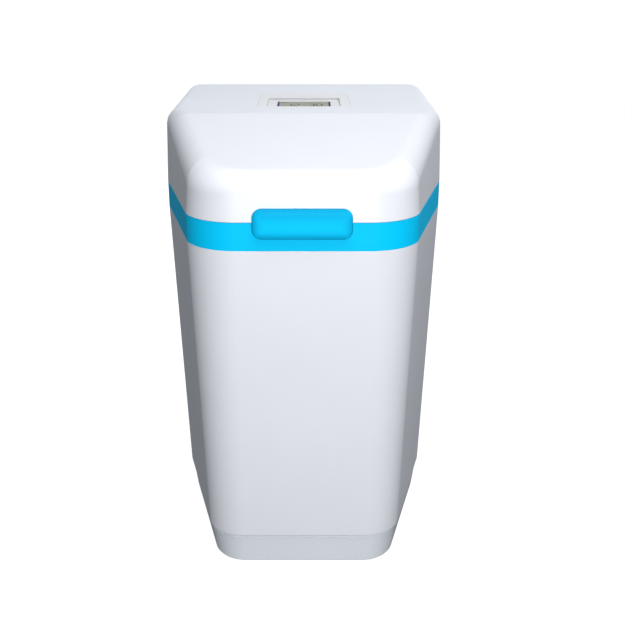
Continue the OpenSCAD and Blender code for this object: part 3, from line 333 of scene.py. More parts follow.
def make_floor():
    """Pale floor that turns up into a round wall; it throws no light back on the object."""
    start = FLOOR_RADIUS - FLOOR_RISE
    profile = [(FLOOR_HUB, 0.0), (start, 0.0)]
    for a in (pi / 2 * k / FLOOR_STEPS for k in range(1, FLOOR_STEPS + 1)):
        profile.append((start + FLOOR_RISE * sin(a), FLOOR_RISE - FLOOR_RISE * cos(a)))
    profile.append((FLOOR_RADIUS, FLOOR_TOP))
    turns = [2 * pi * s / FLOOR_SIDES for s in range(FLOOR_SIDES)]
    verts = [(r * cos(a), r * sin(a), z) for r, z in profile for a in turns]
    faces = []
    for k in range(len(profile) - 1):
        for s in range(FLOOR_SIDES):
            a, b = k * FLOOR_SIDES + s, k * FLOOR_SIDES + (s + 1) % FLOOR_SIDES
            faces.append((a, b, b + FLOOR_SIDES, a + FLOOR_SIDES))
    faces.append(tuple(range(FLOOR_SIDES)))
    mesh = bpy.data.meshes.new("studio_floor")
    mesh.from_pydata(verts, [], faces)
    mesh.shade_smooth()
    floor = bpy.data.objects.new("studio_floor", mesh)
    bpy.context.scene.collection.objects.link(floor)
    material, _, shader = new_material("studio_floor")
    shader.inputs["Base Color"].default_value = FLOOR_COLOUR
    shader.inputs["Roughness"].default_value = FLOOR_ROUGH
    shader.inputs["Emission Color"].default_value = (*WHITE, 1)
    shader.inputs["Emission Strength"].default_value = FLOOR_GLOW
    mesh.materials.append(material)
    floor.visible_diffuse = False
    floor.visible_glossy = False


# Materials


def new_material(name):
    material = bpy.data.materials.new(name)
    material.use_nodes = True
    return material, material.node_tree, material.node_tree.nodes["Principled BSDF"]


def object_noise(tree, scale, detail):
    coords = tree.nodes.new("ShaderNodeTexCoord")
    noise = tree.nodes.new("ShaderNodeTexNoise")
    noise.inputs["Scale"].default_value = scale
    noise.inputs["Detail"].default_value = detail
    tree.links.new(coords.outputs["Object"], noise.inputs["Vector"])
    return noise.outputs["Fac"]


def spread(tree, factor, low, high):
    """Map a 0 to 1 factor to the range low to high."""
    node = tree.nodes.new("ShaderNodeMapRange")
    node.inputs["To Min"].default_value = low
    node.inputs["To Max"].default_value = high
    tree.links.new(factor, node.inputs["Value"])
    return node.outputs["Result"]


def ramp(tree, factor, first, second, start=0.0, end=1.0):
    """Colour that runs from first to second as the factor goes from start to end."""
    node = tree.nodes.new("ShaderNodeValToRGB")
    for element, colour, place in zip(node.color_ramp.elements, (first, second), (start, end)):
        element.color = (*colour, 1)
        element.position = place
    tree.links.new(factor, node.inputs["Fac"])
    return node.outputs["Color"]


def tint(tree, shader, factor, first, second):
    """Base colour that runs from first to second with the factor."""
    colour = ramp(tree, factor, first, second, TINT_START, TINT_END)
    tree.links.new(colour, shader.inputs["Base Color"])


def gloss(tree, shader, low, high, scale, detail):
    """Roughness that wanders between low and high."""
    tree.links.new(spread(tree, object_noise(tree, scale, detail), low, high), shader.inputs["Roughness"])


def bump(tree, shader, height, strength, distance):
    node = tree.nodes.new("ShaderNodeBump")
    node.inputs["Strength"].default_value = strength
    node.inputs["Distance"].default_value = distance
    tree.links.new(height, node.inputs["Height"])
    tree.links.new(node.outputs["Normal"], shader.inputs["Normal"])


def shade(colour, factor):
    return tuple(min(1.0, c * factor) for c in colour)


def plastic(name, colour, rough, grain=1500, grain_depth=0.02, mottle=0.012, specular=0.5):
    """Moulded plastic: faint mottle in the colour, uneven gloss and a fine moulded grain."""
    material, tree, shader = new_material(name)
    cloud = object_noise(tree, scale=9, detail=3)
    tint(tree, shader, cloud, shade(colour, 1 - mottle), shade(colour, 1 + mottle))
    gloss(tree, shader, rough - 0.035, rough + 0.035, scale=55, detail=4)
    bump(tree, shader, object_noise(tree, grain, detail=2), grain_depth, distance=0.0004)
    shader.inputs["Specular IOR Level"].default_value = specular
    return material


def painted_shade_pad(name, painted_shade_colour, colour):
    """Soft-touch pad with painted shade: its colour darkens towards its rim, by the mesh's own rim values."""
    material, tree, shader = new_material(name)
    rim = tree.nodes.new("ShaderNodeAttribute")
    rim.attribute_name = "rim"
    tree.links.new(ramp(tree, rim.outputs["Fac"], painted_shade_colour, colour), shader.inputs["Base Color"])
    gloss(tree, shader, low=0.48, high=0.58, scale=120, detail=3)
    bump(tree, shader, object_noise(tree, scale=2200, detail=2), strength=0.03, distance=0.0003)
    shader.inputs["Specular IOR Level"].default_value = 0.05
    return material


def rubber(name, colour):
    material, tree, shader = new_material(name)
    speckle = object_noise(tree, scale=160, detail=5)
    tint(tree, shader, speckle, shade(colour, 0.75), shade(colour, 1.35))
    gloss(tree, shader, low=0.68, high=0.86, scale=90, detail=3)
    bump(tree, shader, object_noise(tree, scale=2600, detail=3), strength=0.12, distance=0.0003)
    return material


def metal(name, colour, rough):
    """Plated steel with fine turning marks."""
    material, tree, shader = new_material(name)
    marks = object_noise(tree, scale=300, detail=3)
    tint(tree, shader, marks, shade(colour, 0.93), shade(colour, 1.05))
    gloss(tree, shader, rough - 0.06, rough + 0.08, scale=700, detail=4)
    shader.inputs["Metallic"].default_value = 1.0
    bump(tree, shader, object_noise(tree, scale=3200, detail=2), strength=0.05, distance=0.0002)
    return material


def wound_fibre(name, colour):
    """Dark glass-fibre winding under clear resin: two crossing sets of helical strands."""
    material, tree, shader = new_material(name)
    coords = tree.nodes.new("ShaderNodeTexCoord")
    both = tree.nodes.new("ShaderNodeMath")
    both.operation = "MAXIMUM"
    for strand, lean in enumerate((22, -22)):
        turned_coords = tree.nodes.new("ShaderNodeMapping")
        turned_coords.inputs["Rotation"].default_value = (radians(lean), radians(lean), 0)
        wave = tree.nodes.new("ShaderNodeTexWave")
        wave.bands_direction = "Z"
        wave.inputs["Scale"].default_value = 75
        wave.inputs["Distortion"].default_value = 2.2
        wave.inputs["Detail"].default_value = 3
        wave.inputs["Detail Scale"].default_value = 1.6
        tree.links.new(coords.outputs["Object"], turned_coords.inputs["Vector"])
        tree.links.new(turned_coords.outputs["Vector"], wave.inputs["Vector"])
        tree.links.new(wave.outputs["Fac"], both.inputs[strand])
    tint(tree, shader, both.outputs["Value"], shade(colour, 0.7), shade(colour, 1.6))
    gloss(tree, shader, low=0.22, high=0.36, scale=70, detail=3)
    bump(tree, shader, both.outputs["Value"], strength=0.25, distance=0.0006)
    shader.inputs["Coat Weight"].default_value = 0.5
    shader.inputs["Coat Roughness"].default_value = 0.15
    return material


def beads(name, colour):
    """Packed resin beads, with painted shade: lighter at each bead's centre, darker in the gaps between beads.
    """
    material, tree, shader = new_material(name)
    coords = tree.nodes.new("ShaderNodeTexCoord")
    cells = tree.nodes.new("ShaderNodeTexVoronoi")
    cells.inputs["Scale"].default_value = 1100
    tree.links.new(coords.outputs["Object"], cells.inputs["Vector"])
    # Painted shade: the colour darkens from each bead's centre to the gaps between beads
    tint(tree, shader, cells.outputs["Distance"], shade(colour, 1.4), shade(colour, 0.45))
    shader.inputs["Roughness"].default_value = 0.28
    bump(tree, shader, cells.outputs["Distance"], strength=-0.6, distance=0.0006)
    return material


def bricks(tree, shader, scale, mortar_size, first, second, mortar):
    """Base colour in rows of small rectangles with thin lines between them."""
    coords = tree.nodes.new("ShaderNodeTexCoord")
    node = tree.nodes.new("ShaderNodeTexBrick")
    node.inputs["Scale"].default_value = scale
    node.inputs["Mortar Size"].default_value = mortar_size
    for socket, colour in (("Color1", first), ("Color2", second), ("Mortar", mortar)):
        node.inputs[socket].default_value = (*colour, 1)
    tree.links.new(coords.outputs["Object"], node.inputs["Vector"])
    tree.links.new(node.outputs["Color"], shader.inputs["Base Color"])
    return node


def circuit(name, colour):
    """Solder mask with pale tracks just under its surface."""
    material, tree, shader = new_material(name)
    tracks = bricks(tree, shader, 95, 0.035, shade(colour, 0.9), shade(colour, 1.1), shade(colour, 2.2))
    gloss(tree, shader, low=0.25, high=0.4, scale=400, detail=3)
    bump(tree, shader, tracks.outputs["Fac"], strength=0.1, distance=0.0002)
    return material


def display_film(name, colour):
    """Reflective display: fine pixel grid under a clear window."""
    material, tree, shader = new_material(name)
    pixels = bricks(tree, shader, 1500, 0.03, colour, shade(colour, 1.03), shade(colour, 0.88))
    pixels.offset = 0.0
    pixels.inputs["Row Height"].default_value = 0.5
    gloss(tree, shader, low=0.55, high=0.65, scale=40, detail=2)
    shader.inputs["Specular IOR Level"].default_value = 0.08
    return material


MATERIALS = {
    "white_shell": plastic("white_shell", (0.80, 0.815, 0.87), 0.4),
    "plinth": plastic("plinth", (0.73, 0.76, 0.81), 0.44, grain_depth=0.025),
    "blue_trim": plastic("blue_trim", (0.002, 0.585, 0.97), 0.5, grain=1600, specular=0.05),
    # The handle's colour darkens to the first, deeper blue at its rim: painted shade
    "handle": painted_shade_pad("handle", (0.001, 0.28, 0.5), (0.002, 0.58, 0.98)),
    "bezel": plastic("bezel", (0.815, 0.815, 0.83), 0.55, grain=1900, grain_depth=0.05),
    # Darker grey for the walls of the display recess: painted shade
    "bezel_painted_shade": plastic("bezel_painted_shade", (0.47, 0.485, 0.51), 0.55, grain=1900, grain_depth=0.05),
    "rubber": rubber("rubber", (0.03, 0.03, 0.033)),
    "grey_plastic": plastic("grey_plastic", (0.45, 0.47, 0.5), 0.5, 1700, grain_depth=0.05, mottle=0.03),
    "black_plastic": plastic("black_plastic", (0.028, 0.028, 0.031), 0.42, grain_depth=0.06, mottle=0.08),
    "white_plastic": plastic("white_plastic", (0.74, 0.75, 0.75), 0.46, grain_depth=0.035),
    "steel": metal("steel", (0.62, 0.63, 0.65), 0.3),
    "vessel": wound_fibre("vessel", (0.05, 0.075, 0.12)),
    "resin": beads("resin", (0.42, 0.17, 0.03)),
    "ceramic": plastic("ceramic", (0.78, 0.75, 0.68), 0.18, grain=2500, grain_depth=0.01),
    "board": circuit("board", (0.012, 0.12, 0.045)),
    "display": display_film("display", (0.37, 0.38, 0.32)),
    "float": plastic("float", (0.75, 0.24, 0.02), 0.45, grain_depth=0.04, mottle=0.04),
    "digit": plastic("digit", (0.07, 0.07, 0.085), 0.5, grain=2500, grain_depth=0.01, specular=0.05),
    "end_strip": plastic("end_strip", (0.008, 0.008, 0.14), 0.5, 2500, grain_depth=0.01, specular=0.05),
}


# Mesh helpers

# Two cross directions and the length of a turned or drawn body
AXES = {"y": (Vector((1, 0, 0)), Vector((0, 0, 1)), Vector((0, 1, 0))),
        "z": (Vector((1, 0, 0)), Vector((0, 1, 0)), Vector((0, 0, 1)))}


def arc(cx, cy, r, first, last, steps):
    angles = [first + (last - first) * k / steps for k in range(steps + 1)]
    return [(cx + r * cos(a), cy + r * sin(a)) for a in angles]


def between(p, q, share):
    return tuple(a + (b - a) * share for a, b in zip(p, q))


def blend_corner(p, corner, q):
    """Soft corner from p to q that bends towards the corner point."""
    shares = [k / BLEND_STEPS for k in range(BLEND_STEPS + 1)]
    return [between(between(p, corner, s), between(corner, q, s), s) for s in shares]


def towards(p, q, distance):
    return between(p, q, distance / (Vector(q) - Vector(p)).length)


def half_plan(inset, rear, rear_r=REAR_R):
    """Right half of the plan, front to rear, drawn in by inset at front and sides and by rear at the back."""
    r = CORNER_R - inset
    centre = (NOSE_HALF, FRONT_Y + CORNER_R)
    end_angle = CORNER_SWEEP - pi / 2
    front = arc(*centre, r, -pi / 2, end_angle - SOFT_EDGE / r, ARC_STEPS)
    edge = (centre[0] + r * cos(end_angle), centre[1] + r * sin(end_angle))
    flare_x = NOSE_HALF + CORNER_R * sin(CORNER_SWEEP)
    flare_y = CORNER_R - CORNER_R * cos(CORNER_SWEEP)
    lean = (HALF_W - flare_x) / (WIDE_Y - flare_y)
    wide = (HALF_W - inset, FRONT_Y + WIDE_Y + inset * lean / 2)
    nose = [(NOSE_HALF * k / NOSE_STEPS, FRONT_Y + inset) for k in range(1, NOSE_STEPS)]
    points = nose + front[:-1] + blend_corner(front[-1], edge, towards(edge, wide, SOFT_EDGE))
    for y in [CREASE_Y + CREASE_SOFT * k / 2 for k in range(-2, 3)]:
        points.append(between(edge, wide, (y - edge[1]) / (wide[1] - edge[1])))
    points += blend_corner(towards(wide, edge, SOFT_WIDE), wide, (wide[0], wide[1] + SOFT_WIDE))
    return points + arc(HALF_W - inset - rear_r, REAR_Y - rear - rear_r, rear_r, 0, pi / 2, REAR_STEPS)


def mirrored(right):
    """Full ring from the points of its right half."""
    return right + [(-p[0], *p[1:]) for p in reversed(right)]


def level(inset, rear, z):
    return mirrored([(x, y, z) for x, y in half_plan(inset, rear)])


def rounded_edge(r, steps=4):
    """(inward, below) steps of a rounded edge, from the side face up to the top face."""
    angles = [pi / 2 * k / steps for k in range(steps + 1)]
    return [(r * (1 - cos(a)), r * (1 - sin(a))) for a in angles]


def ring_mesh(rings, closed=False):
    """Vertices and faces of a loft through equal rings that mirror about x = 0; strips close open ends."""
    count = len(rings[0])
    verts = [p for ring in rings for p in ring]
    spans = [(k, k + 1) for k in range(len(rings) - 1)]
    if closed:
        spans.append((len(rings) - 1, 0))
    faces = [(a * count + s, a * count + (s + 1) % count, b * count + (s + 1) % count, b * count + s)
             for a, b in spans for s in range(count)]
    if not closed:
        for start in (0, (len(rings) - 1) * count):
            faces += [(start + s, start + s + 1, start + count - 2 - s, start + count - 1 - s)
                      for s in range(count // 2 - 1)]
    return verts, faces


def rounded_rect(cx, cy, w, d, r, z, steps=6):
    """Rounded rectangle that starts at the front on the right and mirrors about x = cx."""
    x, y = w / 2 - r, d / 2 - r
    right = arc(x, -y, r, -pi / 2, 0, steps) + arc(x, y, r, 0, pi / 2, steps)
    return [(cx + px, cy + py, z) for px, py in mirrored(right)]


def face_out(mesh, weld):
    """Join vertices within the weld distance, if any is given, and turn all faces outward."""
    work = bmesh.new()
    work.from_mesh(mesh)
    if weld:
        bmesh.ops.remove_doubles(work, verts=work.verts, dist=weld)
    bmesh.ops.recalc_face_normals(work, faces=work.faces)
    work.to_mesh(mesh)
    work.free()


def add_piece(name, verts, faces, slot, body, replaced=(), material=None):
    mesh = bpy.data.meshes.new(name)
    mesh.from_pydata(verts, [], faces)
    face_out(mesh, WELD)
    mesh.materials.append(MATERIALS[material or slot])
    piece = bpy.data.objects.new(name, mesh)
    bpy.context.scene.collection.objects.link(piece)
    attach(piece, body)
    if replaced:
        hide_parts(*replaced)
    return piece


def combine(piece, solids, operation):
    """Cut closed (vertices, faces) solids out of a piece, or join them to it."""
    for verts, faces in solids:
        mesh = bpy.data.meshes.new("tool")
        mesh.from_pydata(verts, [], faces)
        face_out(mesh, weld=0)
        tool = bpy.data.objects.new("tool", mesh)
        bpy.context.scene.collection.objects.link(tool)
        modifier = piece.modifiers.new("combine", "BOOLEAN")
        modifier.operation = operation
        modifier.solver = "EXACT"
        modifier.object = tool
        apply_modifiers(piece)
        bpy.data.objects.remove(tool)


def cut(piece, solids):
    combine(piece, solids, "DIFFERENCE")


def apply_modifiers(piece):
    bpy.context.view_layer.update()
    made = piece.evaluated_get(bpy.context.evaluated_depsgraph_get())
    mesh = bpy.data.meshes.new_from_object(made)
    piece.modifiers.clear()
    piece.data = mesh


def soften(piece, width, angle, segments=3):
    """Round the edges that are sharper than the angle, by width."""
    modifier = piece.modifiers.new("edges", "BEVEL")
    modifier.width = width
    modifier.segments = segments
    modifier.limit_method = "ANGLE"
    modifier.angle_limit = radians(angle)
    modifier.use_clamp_overlap = True


def smooth(piece, angle=32):
    """Smooth shading that keeps the large flat faces flat."""
    piece.data.shade_smooth()
    piece.data.set_sharp_from_angle(angle=radians(angle))
    modifier = piece.modifiers.new("flat_faces", "WEIGHTED_NORMAL")
    modifier.keep_sharp = True


def box_solid(lo, hi):
    corners = [(x, y, z) for z in (lo[2], hi[2]) for x, y in
               ((lo[0], lo[1]), (hi[0], lo[1]), (hi[0], hi[1]), (lo[0], hi[1]))]
    return corners, [(0, 1, 2, 3), (4, 5, 6, 7), (0, 1, 5, 4), (1, 2, 6, 5), (2, 3, 7, 6), (3, 0, 4, 7)]


def rect_solid(cx, cy, w, d, r, z0, z1):
    return ring_mesh([rounded_rect(cx, cy, w, d, r, z) for z in (z0, z1)])


def prism_faces(count):
    """Faces of a prism whose two ends have count points each."""
    sides = [(k, (k + 1) % count, count + (k + 1) % count, count + k) for k in range(count)]
    return sides + [tuple(range(count)), tuple(range(count, 2 * count))]


def prism(outline, place, axis, start, end):
    """Outline of (u, v) points, drawn out along an axis through place from start to end."""
    e1, e2, n = AXES[axis]
    verts = [tuple(Vector(place) + n * along + e1 * u + e2 * v) for along in (start, end) for u, v in outline]
    return verts, prism_faces(len(outline))


def turned_ring(place, axis, r, along, sides, dip=0.0, ribs=0):
    """Ring about an axis through place; its radius dips between ribs."""
    e1, e2, n = AXES[axis]
    ring = []
    for a in (2 * pi * (s + 0.5) / sides for s in range(sides)):
        reach = r - dip * (0.5 - 0.5 * cos(ribs * a))
        ring.append(tuple(Vector(place) + n * along + e1 * (reach * cos(a)) + e2 * (reach * sin(a))))
    return ring


def turned(profile, place, axis, sides=48, closed=False):
    """Body turned about an axis through place; the profile's points are (radius, distance along the axis)."""
    return ring_mesh([turned_ring(place, axis, r, along, sides) for r, along in profile], closed)


def merged(solids):
    """One list of vertices and faces for several solids."""
    verts, faces = [], []
    for solid_verts, solid_faces in solids:
        start = len(verts)
        verts += solid_verts
        faces += [tuple(start + i for i in face) for face in solid_faces]
    return verts, faces


def islands(node):
    """Lowest and highest corners of the separate solids of a node."""
    work = bmesh.new()
    work.from_mesh(NODES[node].data)
    bmesh.ops.remove_doubles(work, verts=work.verts, dist=NODE_WELD)
    boxes, seen = [], set()
    for first in work.verts:
        if first in seen:
            continue
        group, waiting = [], [first]
        seen.add(first)
        while waiting:
            vert = waiting.pop()
            group.append(tuple(vert.co))
            for other in (edge.other_vert(vert) for edge in vert.link_edges):
                if other not in seen:
                    seen.add(other)
                    waiting.append(other)
        boxes.append((Vector(map(min, zip(*group))), Vector(map(max, zip(*group)))))
    work.free()
    return boxes


# Cabinet, plinth and band


def taper_at(z):
    return BODY_TAPER * (band_lo.z - z) / (band_lo.z - cabinet_lo.z)


def make_cabinet():
    bottom, top, rim = cabinet_lo.z + SKIRT_RISE, band_lo.z, cabinet_hi.z
    skirt = cabinet_lo.z + SKIRT_H
    floor = skirt + FLOOR_T
    inner_skirt = BODY_TAPER + WALL
    rings = [level(inner_skirt, WALL, skirt), level(inner_skirt, WALL, bottom)]
    for inward, below in reversed(rounded_edge(SKIRT_EDGE)):
        rings.append(level(taper_at(bottom + below) + inward, inward, bottom + below))
    for inward, below in rounded_edge(SHELL_EDGE):
        rings.append(level(inward, inward, top - below))
    rings.append(level(RIM_IN, RIM_IN, top))
    for inward, below in rounded_edge(RIM_EDGE):
        rings.append(level(RIM_IN + inward, RIM_IN + inward, rim - below))
    for inward, below in reversed(rounded_edge(RIM_EDGE)):
        rings.append(level(REAR_WALL - inward, REAR_WALL - inward, rim - below))
    rings.append(level(REAR_WALL, REAR_WALL, top))
    rings.append(level(taper_at(floor) + WALL, REAR_WALL, floor))
    cabinet = add_piece("cabinet_shell", *ring_mesh(rings), "white_shell", "cabinet", ["cabinet"])
    holes = [box_solid((plate_lo.x + PLATE_LAP, REAR_Y - 2 * REAR_WALL, plate_lo.z + PLATE_LAP),
                       (plate_hi.x - PLATE_LAP, REAR_Y + REAR_WALL, plate_hi.z - PLATE_LAP))]
    notch_y, notch_z = FRONT_Y + NOTCH_Y, (bottom - WALL, bottom + NOTCH_H)
    for near, far in ((-1.5, -0.5), (0.5, 1.5)):
        holes.append(box_solid((near * HALF_W, notch_y, notch_z[0]),
                               (far * HALF_W, notch_y + NOTCH_LEN, notch_z[1])))
    cut(cabinet, holes)
    smooth(cabinet)


def drawn_in(ring, bottom, top):
    """Ring of the plinth, its sides drawn in towards the floor."""
    made = []
    for x, y, z in ring:
        share = min(max(abs(x) - NOSE_HALF, 0) / TAPER_RUN, 1) * max(top - z, 0) / (top - bottom)
        made.append((x - copysign(PLINTH_TAPER * share, x), y, z))
    return made


def make_plinth():
    bottom, top = plinth_lo.z, PLINTH_H + PLINTH_RISE
    outer = BODY_TAPER + PLINTH_INSET
    inner = outer + PLINTH_WALL
    neck, neck_rear = BODY_TAPER + WALL + SKIRT_FIT, WALL + SKIRT_FIT
    rings = [level(inner, PLINTH_WALL, top - PLINTH_WALL), level(inner, PLINTH_WALL, bottom)]
    for inward, below in reversed(rounded_edge(PLINTH_FOOT_EDGE)):
        rings.append(level(outer + inward, inward, bottom + below))
    for inward, below in rounded_edge(PLINTH_TOP_EDGE):
        rings.append(level(outer + inward, inward, top - below))
    rings += [level(neck, neck_rear, top), level(neck, neck_rear, plinth_hi.z)]
    rings = [drawn_in(ring, bottom, top) for ring in rings]
    smooth(add_piece("plinth_shell", *ring_mesh(rings), "plinth", "cabinet", ["base_plinth"]))


def make_band():
    edge = rounded_edge(BAND_EDGE)
    rings = [level(inward, inward, band_lo.z + below) for inward, below in reversed(edge)]
    rings += [level(inward, inward, band_hi.z - below) for inward, below in edge]
    rings += [level(BAND_T, BAND_T, z) for z in (band_hi.z, band_lo.z)]
    smooth(add_piece("band_shell", *ring_mesh(rings, closed=True), "blue_trim", "cabinet", ["trim_band"]))


# Lid and handle


def roof(y):
    """Height of the lid's top: a front slope that turns level at the crease."""
    run = CREASE_Y + CREASE_SOFT - y
    if run <= 0:
        return lid_hi.z
    if run < 2 * CREASE_SOFT:
        return lid_hi.z - tan(SLOPE) * run * run / (4 * CREASE_SOFT)
    return lid_hi.z - tan(SLOPE) * (CREASE_Y - y)


def lid_edge_radii():
    """Radius of the lid's top edge at each column of the plan: widest over the front corners."""
    outline = half_plan(0, 0)
    crease = CREASE_Y - FRONT_Y
    arc_length = CORNER_R * CORNER_SWEEP
    radii, run = [], outline[0][0]
    for k, (_, y) in enumerate(outline):
        run += (Vector(outline[k]) - Vector(outline[k - 1])).length if k else 0
        behind = y - FRONT_Y
        grown = min(max((run - EDGE_GROWS_X) / (NOSE_HALF + arc_length - EDGE_GROWS_X), 0), 1)
        radius = LID_EDGE_R + (CORNER_EDGE_R - LID_EDGE_R) * grown * grown * (3 - 2 * grown)
        if grown == 1:
            radius += (CREASE_EDGE_R - CORNER_EDGE_R) * min(behind / crease, 1)
        if behind > crease:
            radius += (LID_EDGE_R - CREASE_EDGE_R) * min((behind - crease) / (EDGE_ENDS_Y - crease), 1)
        radii.append(radius)
    return radii


def lid_rings(wall, rim_edge):
    """Rings of the lid's surface from its lower edge to the top, set in by the wall."""
    rings = [level(wall + inward, wall + inward, lid_lo.z + below) for inward, below in rim_edge]
    radii = [r - wall for r in lid_edge_radii()]
    for k in range(EDGE_STEPS + 1):
        a = pi / 2 * k / EDGE_STEPS
        right = []
        for column, r in enumerate(radii):
            inward = wall + r * (1 - cos(a))
            x, y = half_plan(LID_TAPER + inward, inward, REAR_R - inward)[column]
            right.append((x, y, roof(y) - wall - r * (1 - sin(a))))
        rings.append(mirrored(right))
    return rings


def make_lid():
    inside = lid_rings(LID_WALL, rim_edge=[(0, 0)])
    outside = lid_rings(0.0, rim_edge=list(reversed(rounded_edge(LID_RIM_EDGE))))
    rings = list(reversed(inside)) + outside
    lid = add_piece("lid_shell", *ring_mesh(rings), "white_shell", "lid", ["lid"])
    w = head_hi.x - head_lo.x + 2 * WINDOW_GAP
    y0, y1 = head_lo.y - SWING_GAP, head_hi.y + WINDOW_GAP
    cut(lid, [rect_solid(0, (y0 + y1) / 2, w, y1 - y0, HEAD_CORNER + WINDOW_GAP,
                         lid_hi.z - 2 * LID_WALL, lid_hi.z + LID_WALL)])
    soften(lid, WINDOW_EDGE, angle=70)
    apply_modifiers(lid)
    smooth(lid)


def make_handle():
    mid_z = (handle_lo.z + handle_hi.z) / 2
    w, h = handle_hi.x - handle_lo.x, handle_hi.z - handle_lo.z
    front = handle_lo.y
    lip_top = roof(FRONT_Y + LID_TAPER) - LID_EDGE_R

    def outline(inset):
        r = max(HANDLE_R - inset, HANDLE_LEAST_R)
        ring = rounded_rect(0, mid_z, w - 2 * inset, h - 2 * inset, r, 0, HANDLE_CORNER_STEPS)
        return [(x, z) for x, z, _ in ring]

    def back(z):
        lip = FRONT_Y + LID_TAPER * (z - lid_lo.z) / (lip_top - lid_lo.z)
        return lip if z > lid_lo.z else FRONT_Y - BAND_CLEAR

    rings = [[(x, back(z), z) for x, z in outline(0)]]
    for inward, below in rounded_edge(HANDLE_EDGE, HANDLE_STEPS):
        rings.append([(x, front + HANDLE_CROWN + below, z) for x, z in outline(inward)])
    for share in (k / HANDLE_STEPS for k in range(1, HANDLE_STEPS + 1)):
        inset = HANDLE_EDGE + share * (HANDLE_SOFT - HANDLE_EDGE)
        rings.append([(x, front + HANDLE_CROWN * (1 - share) ** 3, z) for x, z in outline(inset)])
    rings += [[(x, front, z) for x, z in outline(inset)] for inset in HANDLE_FLAT]
    handle = add_piece("handle_pad", *ring_mesh(rings), "blue_trim", "lid", ["lid_handle"], material="handle")
    # Rim values that drive the handle's painted shade: 0 at its side, bottom and top edges, rising to 1 inside
    rim = handle.data.attributes.new("rim", "FLOAT", "POINT")
    for vert, value in zip(handle.data.vertices, rim.data):
        side = min(w / 2 - abs(vert.co.x), vert.co.z - handle_lo.z) / HANDLE_VIGNETTE
        top = (handle_hi.z - vert.co.z) / HANDLE_TOP_VIGNETTE
        value.value = max(0, min(1, side, top)) ** 0.5
    smooth(handle, angle=40)


# Display head


def make_head():
    mid_y = (head_lo.y + head_hi.y) / 2
    w, d = head_hi.x - head_lo.x, head_hi.y - head_lo.y
    rings = [rounded_rect(0, mid_y, w, d, HEAD_CORNER, head_lo.z)]
    for i, below in rounded_edge(HEAD_EDGE):
        rings.append(rounded_rect(0, mid_y, w - 2 * i, d - 2 * i, HEAD_CORNER - i, head_hi.z - below))
    head = add_piece("head_bezel", *ring_mesh(rings), "bezel", "cabinet", ["head_cover"])
    recess_y = head_lo.y + RECESS_FRONT + RECESS_D / 2
    recess_z = head_hi.z - RECESS_DEPTH
    inner_top = recess_z - HEAD_WALL
    through = (inner_top - HEAD_WALL, recess_z + HEAD_WALL)
    solids = [rect_solid(0, mid_y, w - 2 * HEAD_WALL, d - 2 * HEAD_WALL, HEAD_CORNER - HEAD_WALL,
                         head_lo.z - HEAD_WALL, inner_top),
              rect_solid(0, recess_y, RECESS_W, RECESS_D, RECESS_R, recess_z, head_hi.z + HEAD_WALL)]
    glass_mid = (glass_lo + glass_hi) / 2
    size = glass_hi - glass_lo
    solids.append(rect_solid(glass_mid.x, glass_mid.y, size.x + 2 * POCKET_FIT, size.y + 2 * POCKET_FIT,
                             GLASS_POCKET_R, *through))
    flange = BUTTON_FLANGE - POCKET_FIT
    for k in range(1, BUTTONS + 1):
        lo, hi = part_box(f"button_{k}")
        solids.append(rect_solid((lo.x + hi.x) / 2, (lo.y + hi.y) / 2, hi.x - lo.x - 2 * flange,
                                 hi.y - lo.y - 2 * flange, BUTTON_POCKET_R, *through))
    cut(head, solids)
    soften(head, HEAD_EDGE, angle=60)
    apply_modifiers(head)
    # The recess's walls take the darker grey: painted shade where the recess lies in shade
    head.data.materials.append(MATERIALS["bezel_painted_shade"])
    for face in head.data.polygons:
        x, y, z = face.center
        in_recess = abs(x) < w / 2 - HEAD_WALL and abs(y - recess_y) < RECESS_D / 2 + POCKET_FIT
        wall = face.normal.y < -STEEP or abs(face.normal.x) > STEEP
        if in_recess and z > recess_z and wall:
            face.material_index = 1
    smooth(head)


# Segments of a digit: a to g as (centre x, centre y, lies flat), in shares of its width and height
SEGMENTS = {"a": (0.5, 1.0, True), "b": (1.0, 0.75, False), "c": (1.0, 0.25, False), "d": (0.5, 0.0, True),
            "e": (0.0, 0.25, False), "f": (0.0, 0.75, False), "g": (0.5, 0.5, True)}
DIGITS = {"0": "abcdef", "1": "bc", "2": "abged", "3": "abgcd", "4": "fgbc"}


def segment_bar(cx, cy, length, width, flat, z0, z1):
    """Six-sided bar of a digit, lying along x or along y."""
    half, tip = length / 2, width / 2
    right = [(half - tip, -tip), (half, 0), (half - tip, tip)]
    points = [(-half, 0), (-half + tip, -tip)] + right + [(-half + tip, tip)]
    if not flat:
        points = [(-y, x) for x, y in points]
    verts = [(cx + x, cy + y, z) for z in (z0, z1) for x, y in points]
    return verts, prism_faces(len(points))


def digit_row(text, left, base, height, z0, z1):
    width, bar, pitch = height * DIGIT_W, height * DIGIT_BAR, height * DIGIT_PITCH
    solids = []
    for k, mark in enumerate(text):
        x = left + k * pitch
        for name in DIGITS.get(mark, ""):
            sx, sy, flat = SEGMENTS[name]
            length = (width if flat else height / 2) - bar * BAR_GAP
            solids.append(segment_bar(x + sx * width, base + sy * height, length, bar, flat, z0, z1))
        if mark == ":":
            solids += [segment_bar(x + width / 2, base + share * height, bar * DOT_LENGTH, bar, True, z0, z1)
                       for share in DOT_PLACES]
    return solids


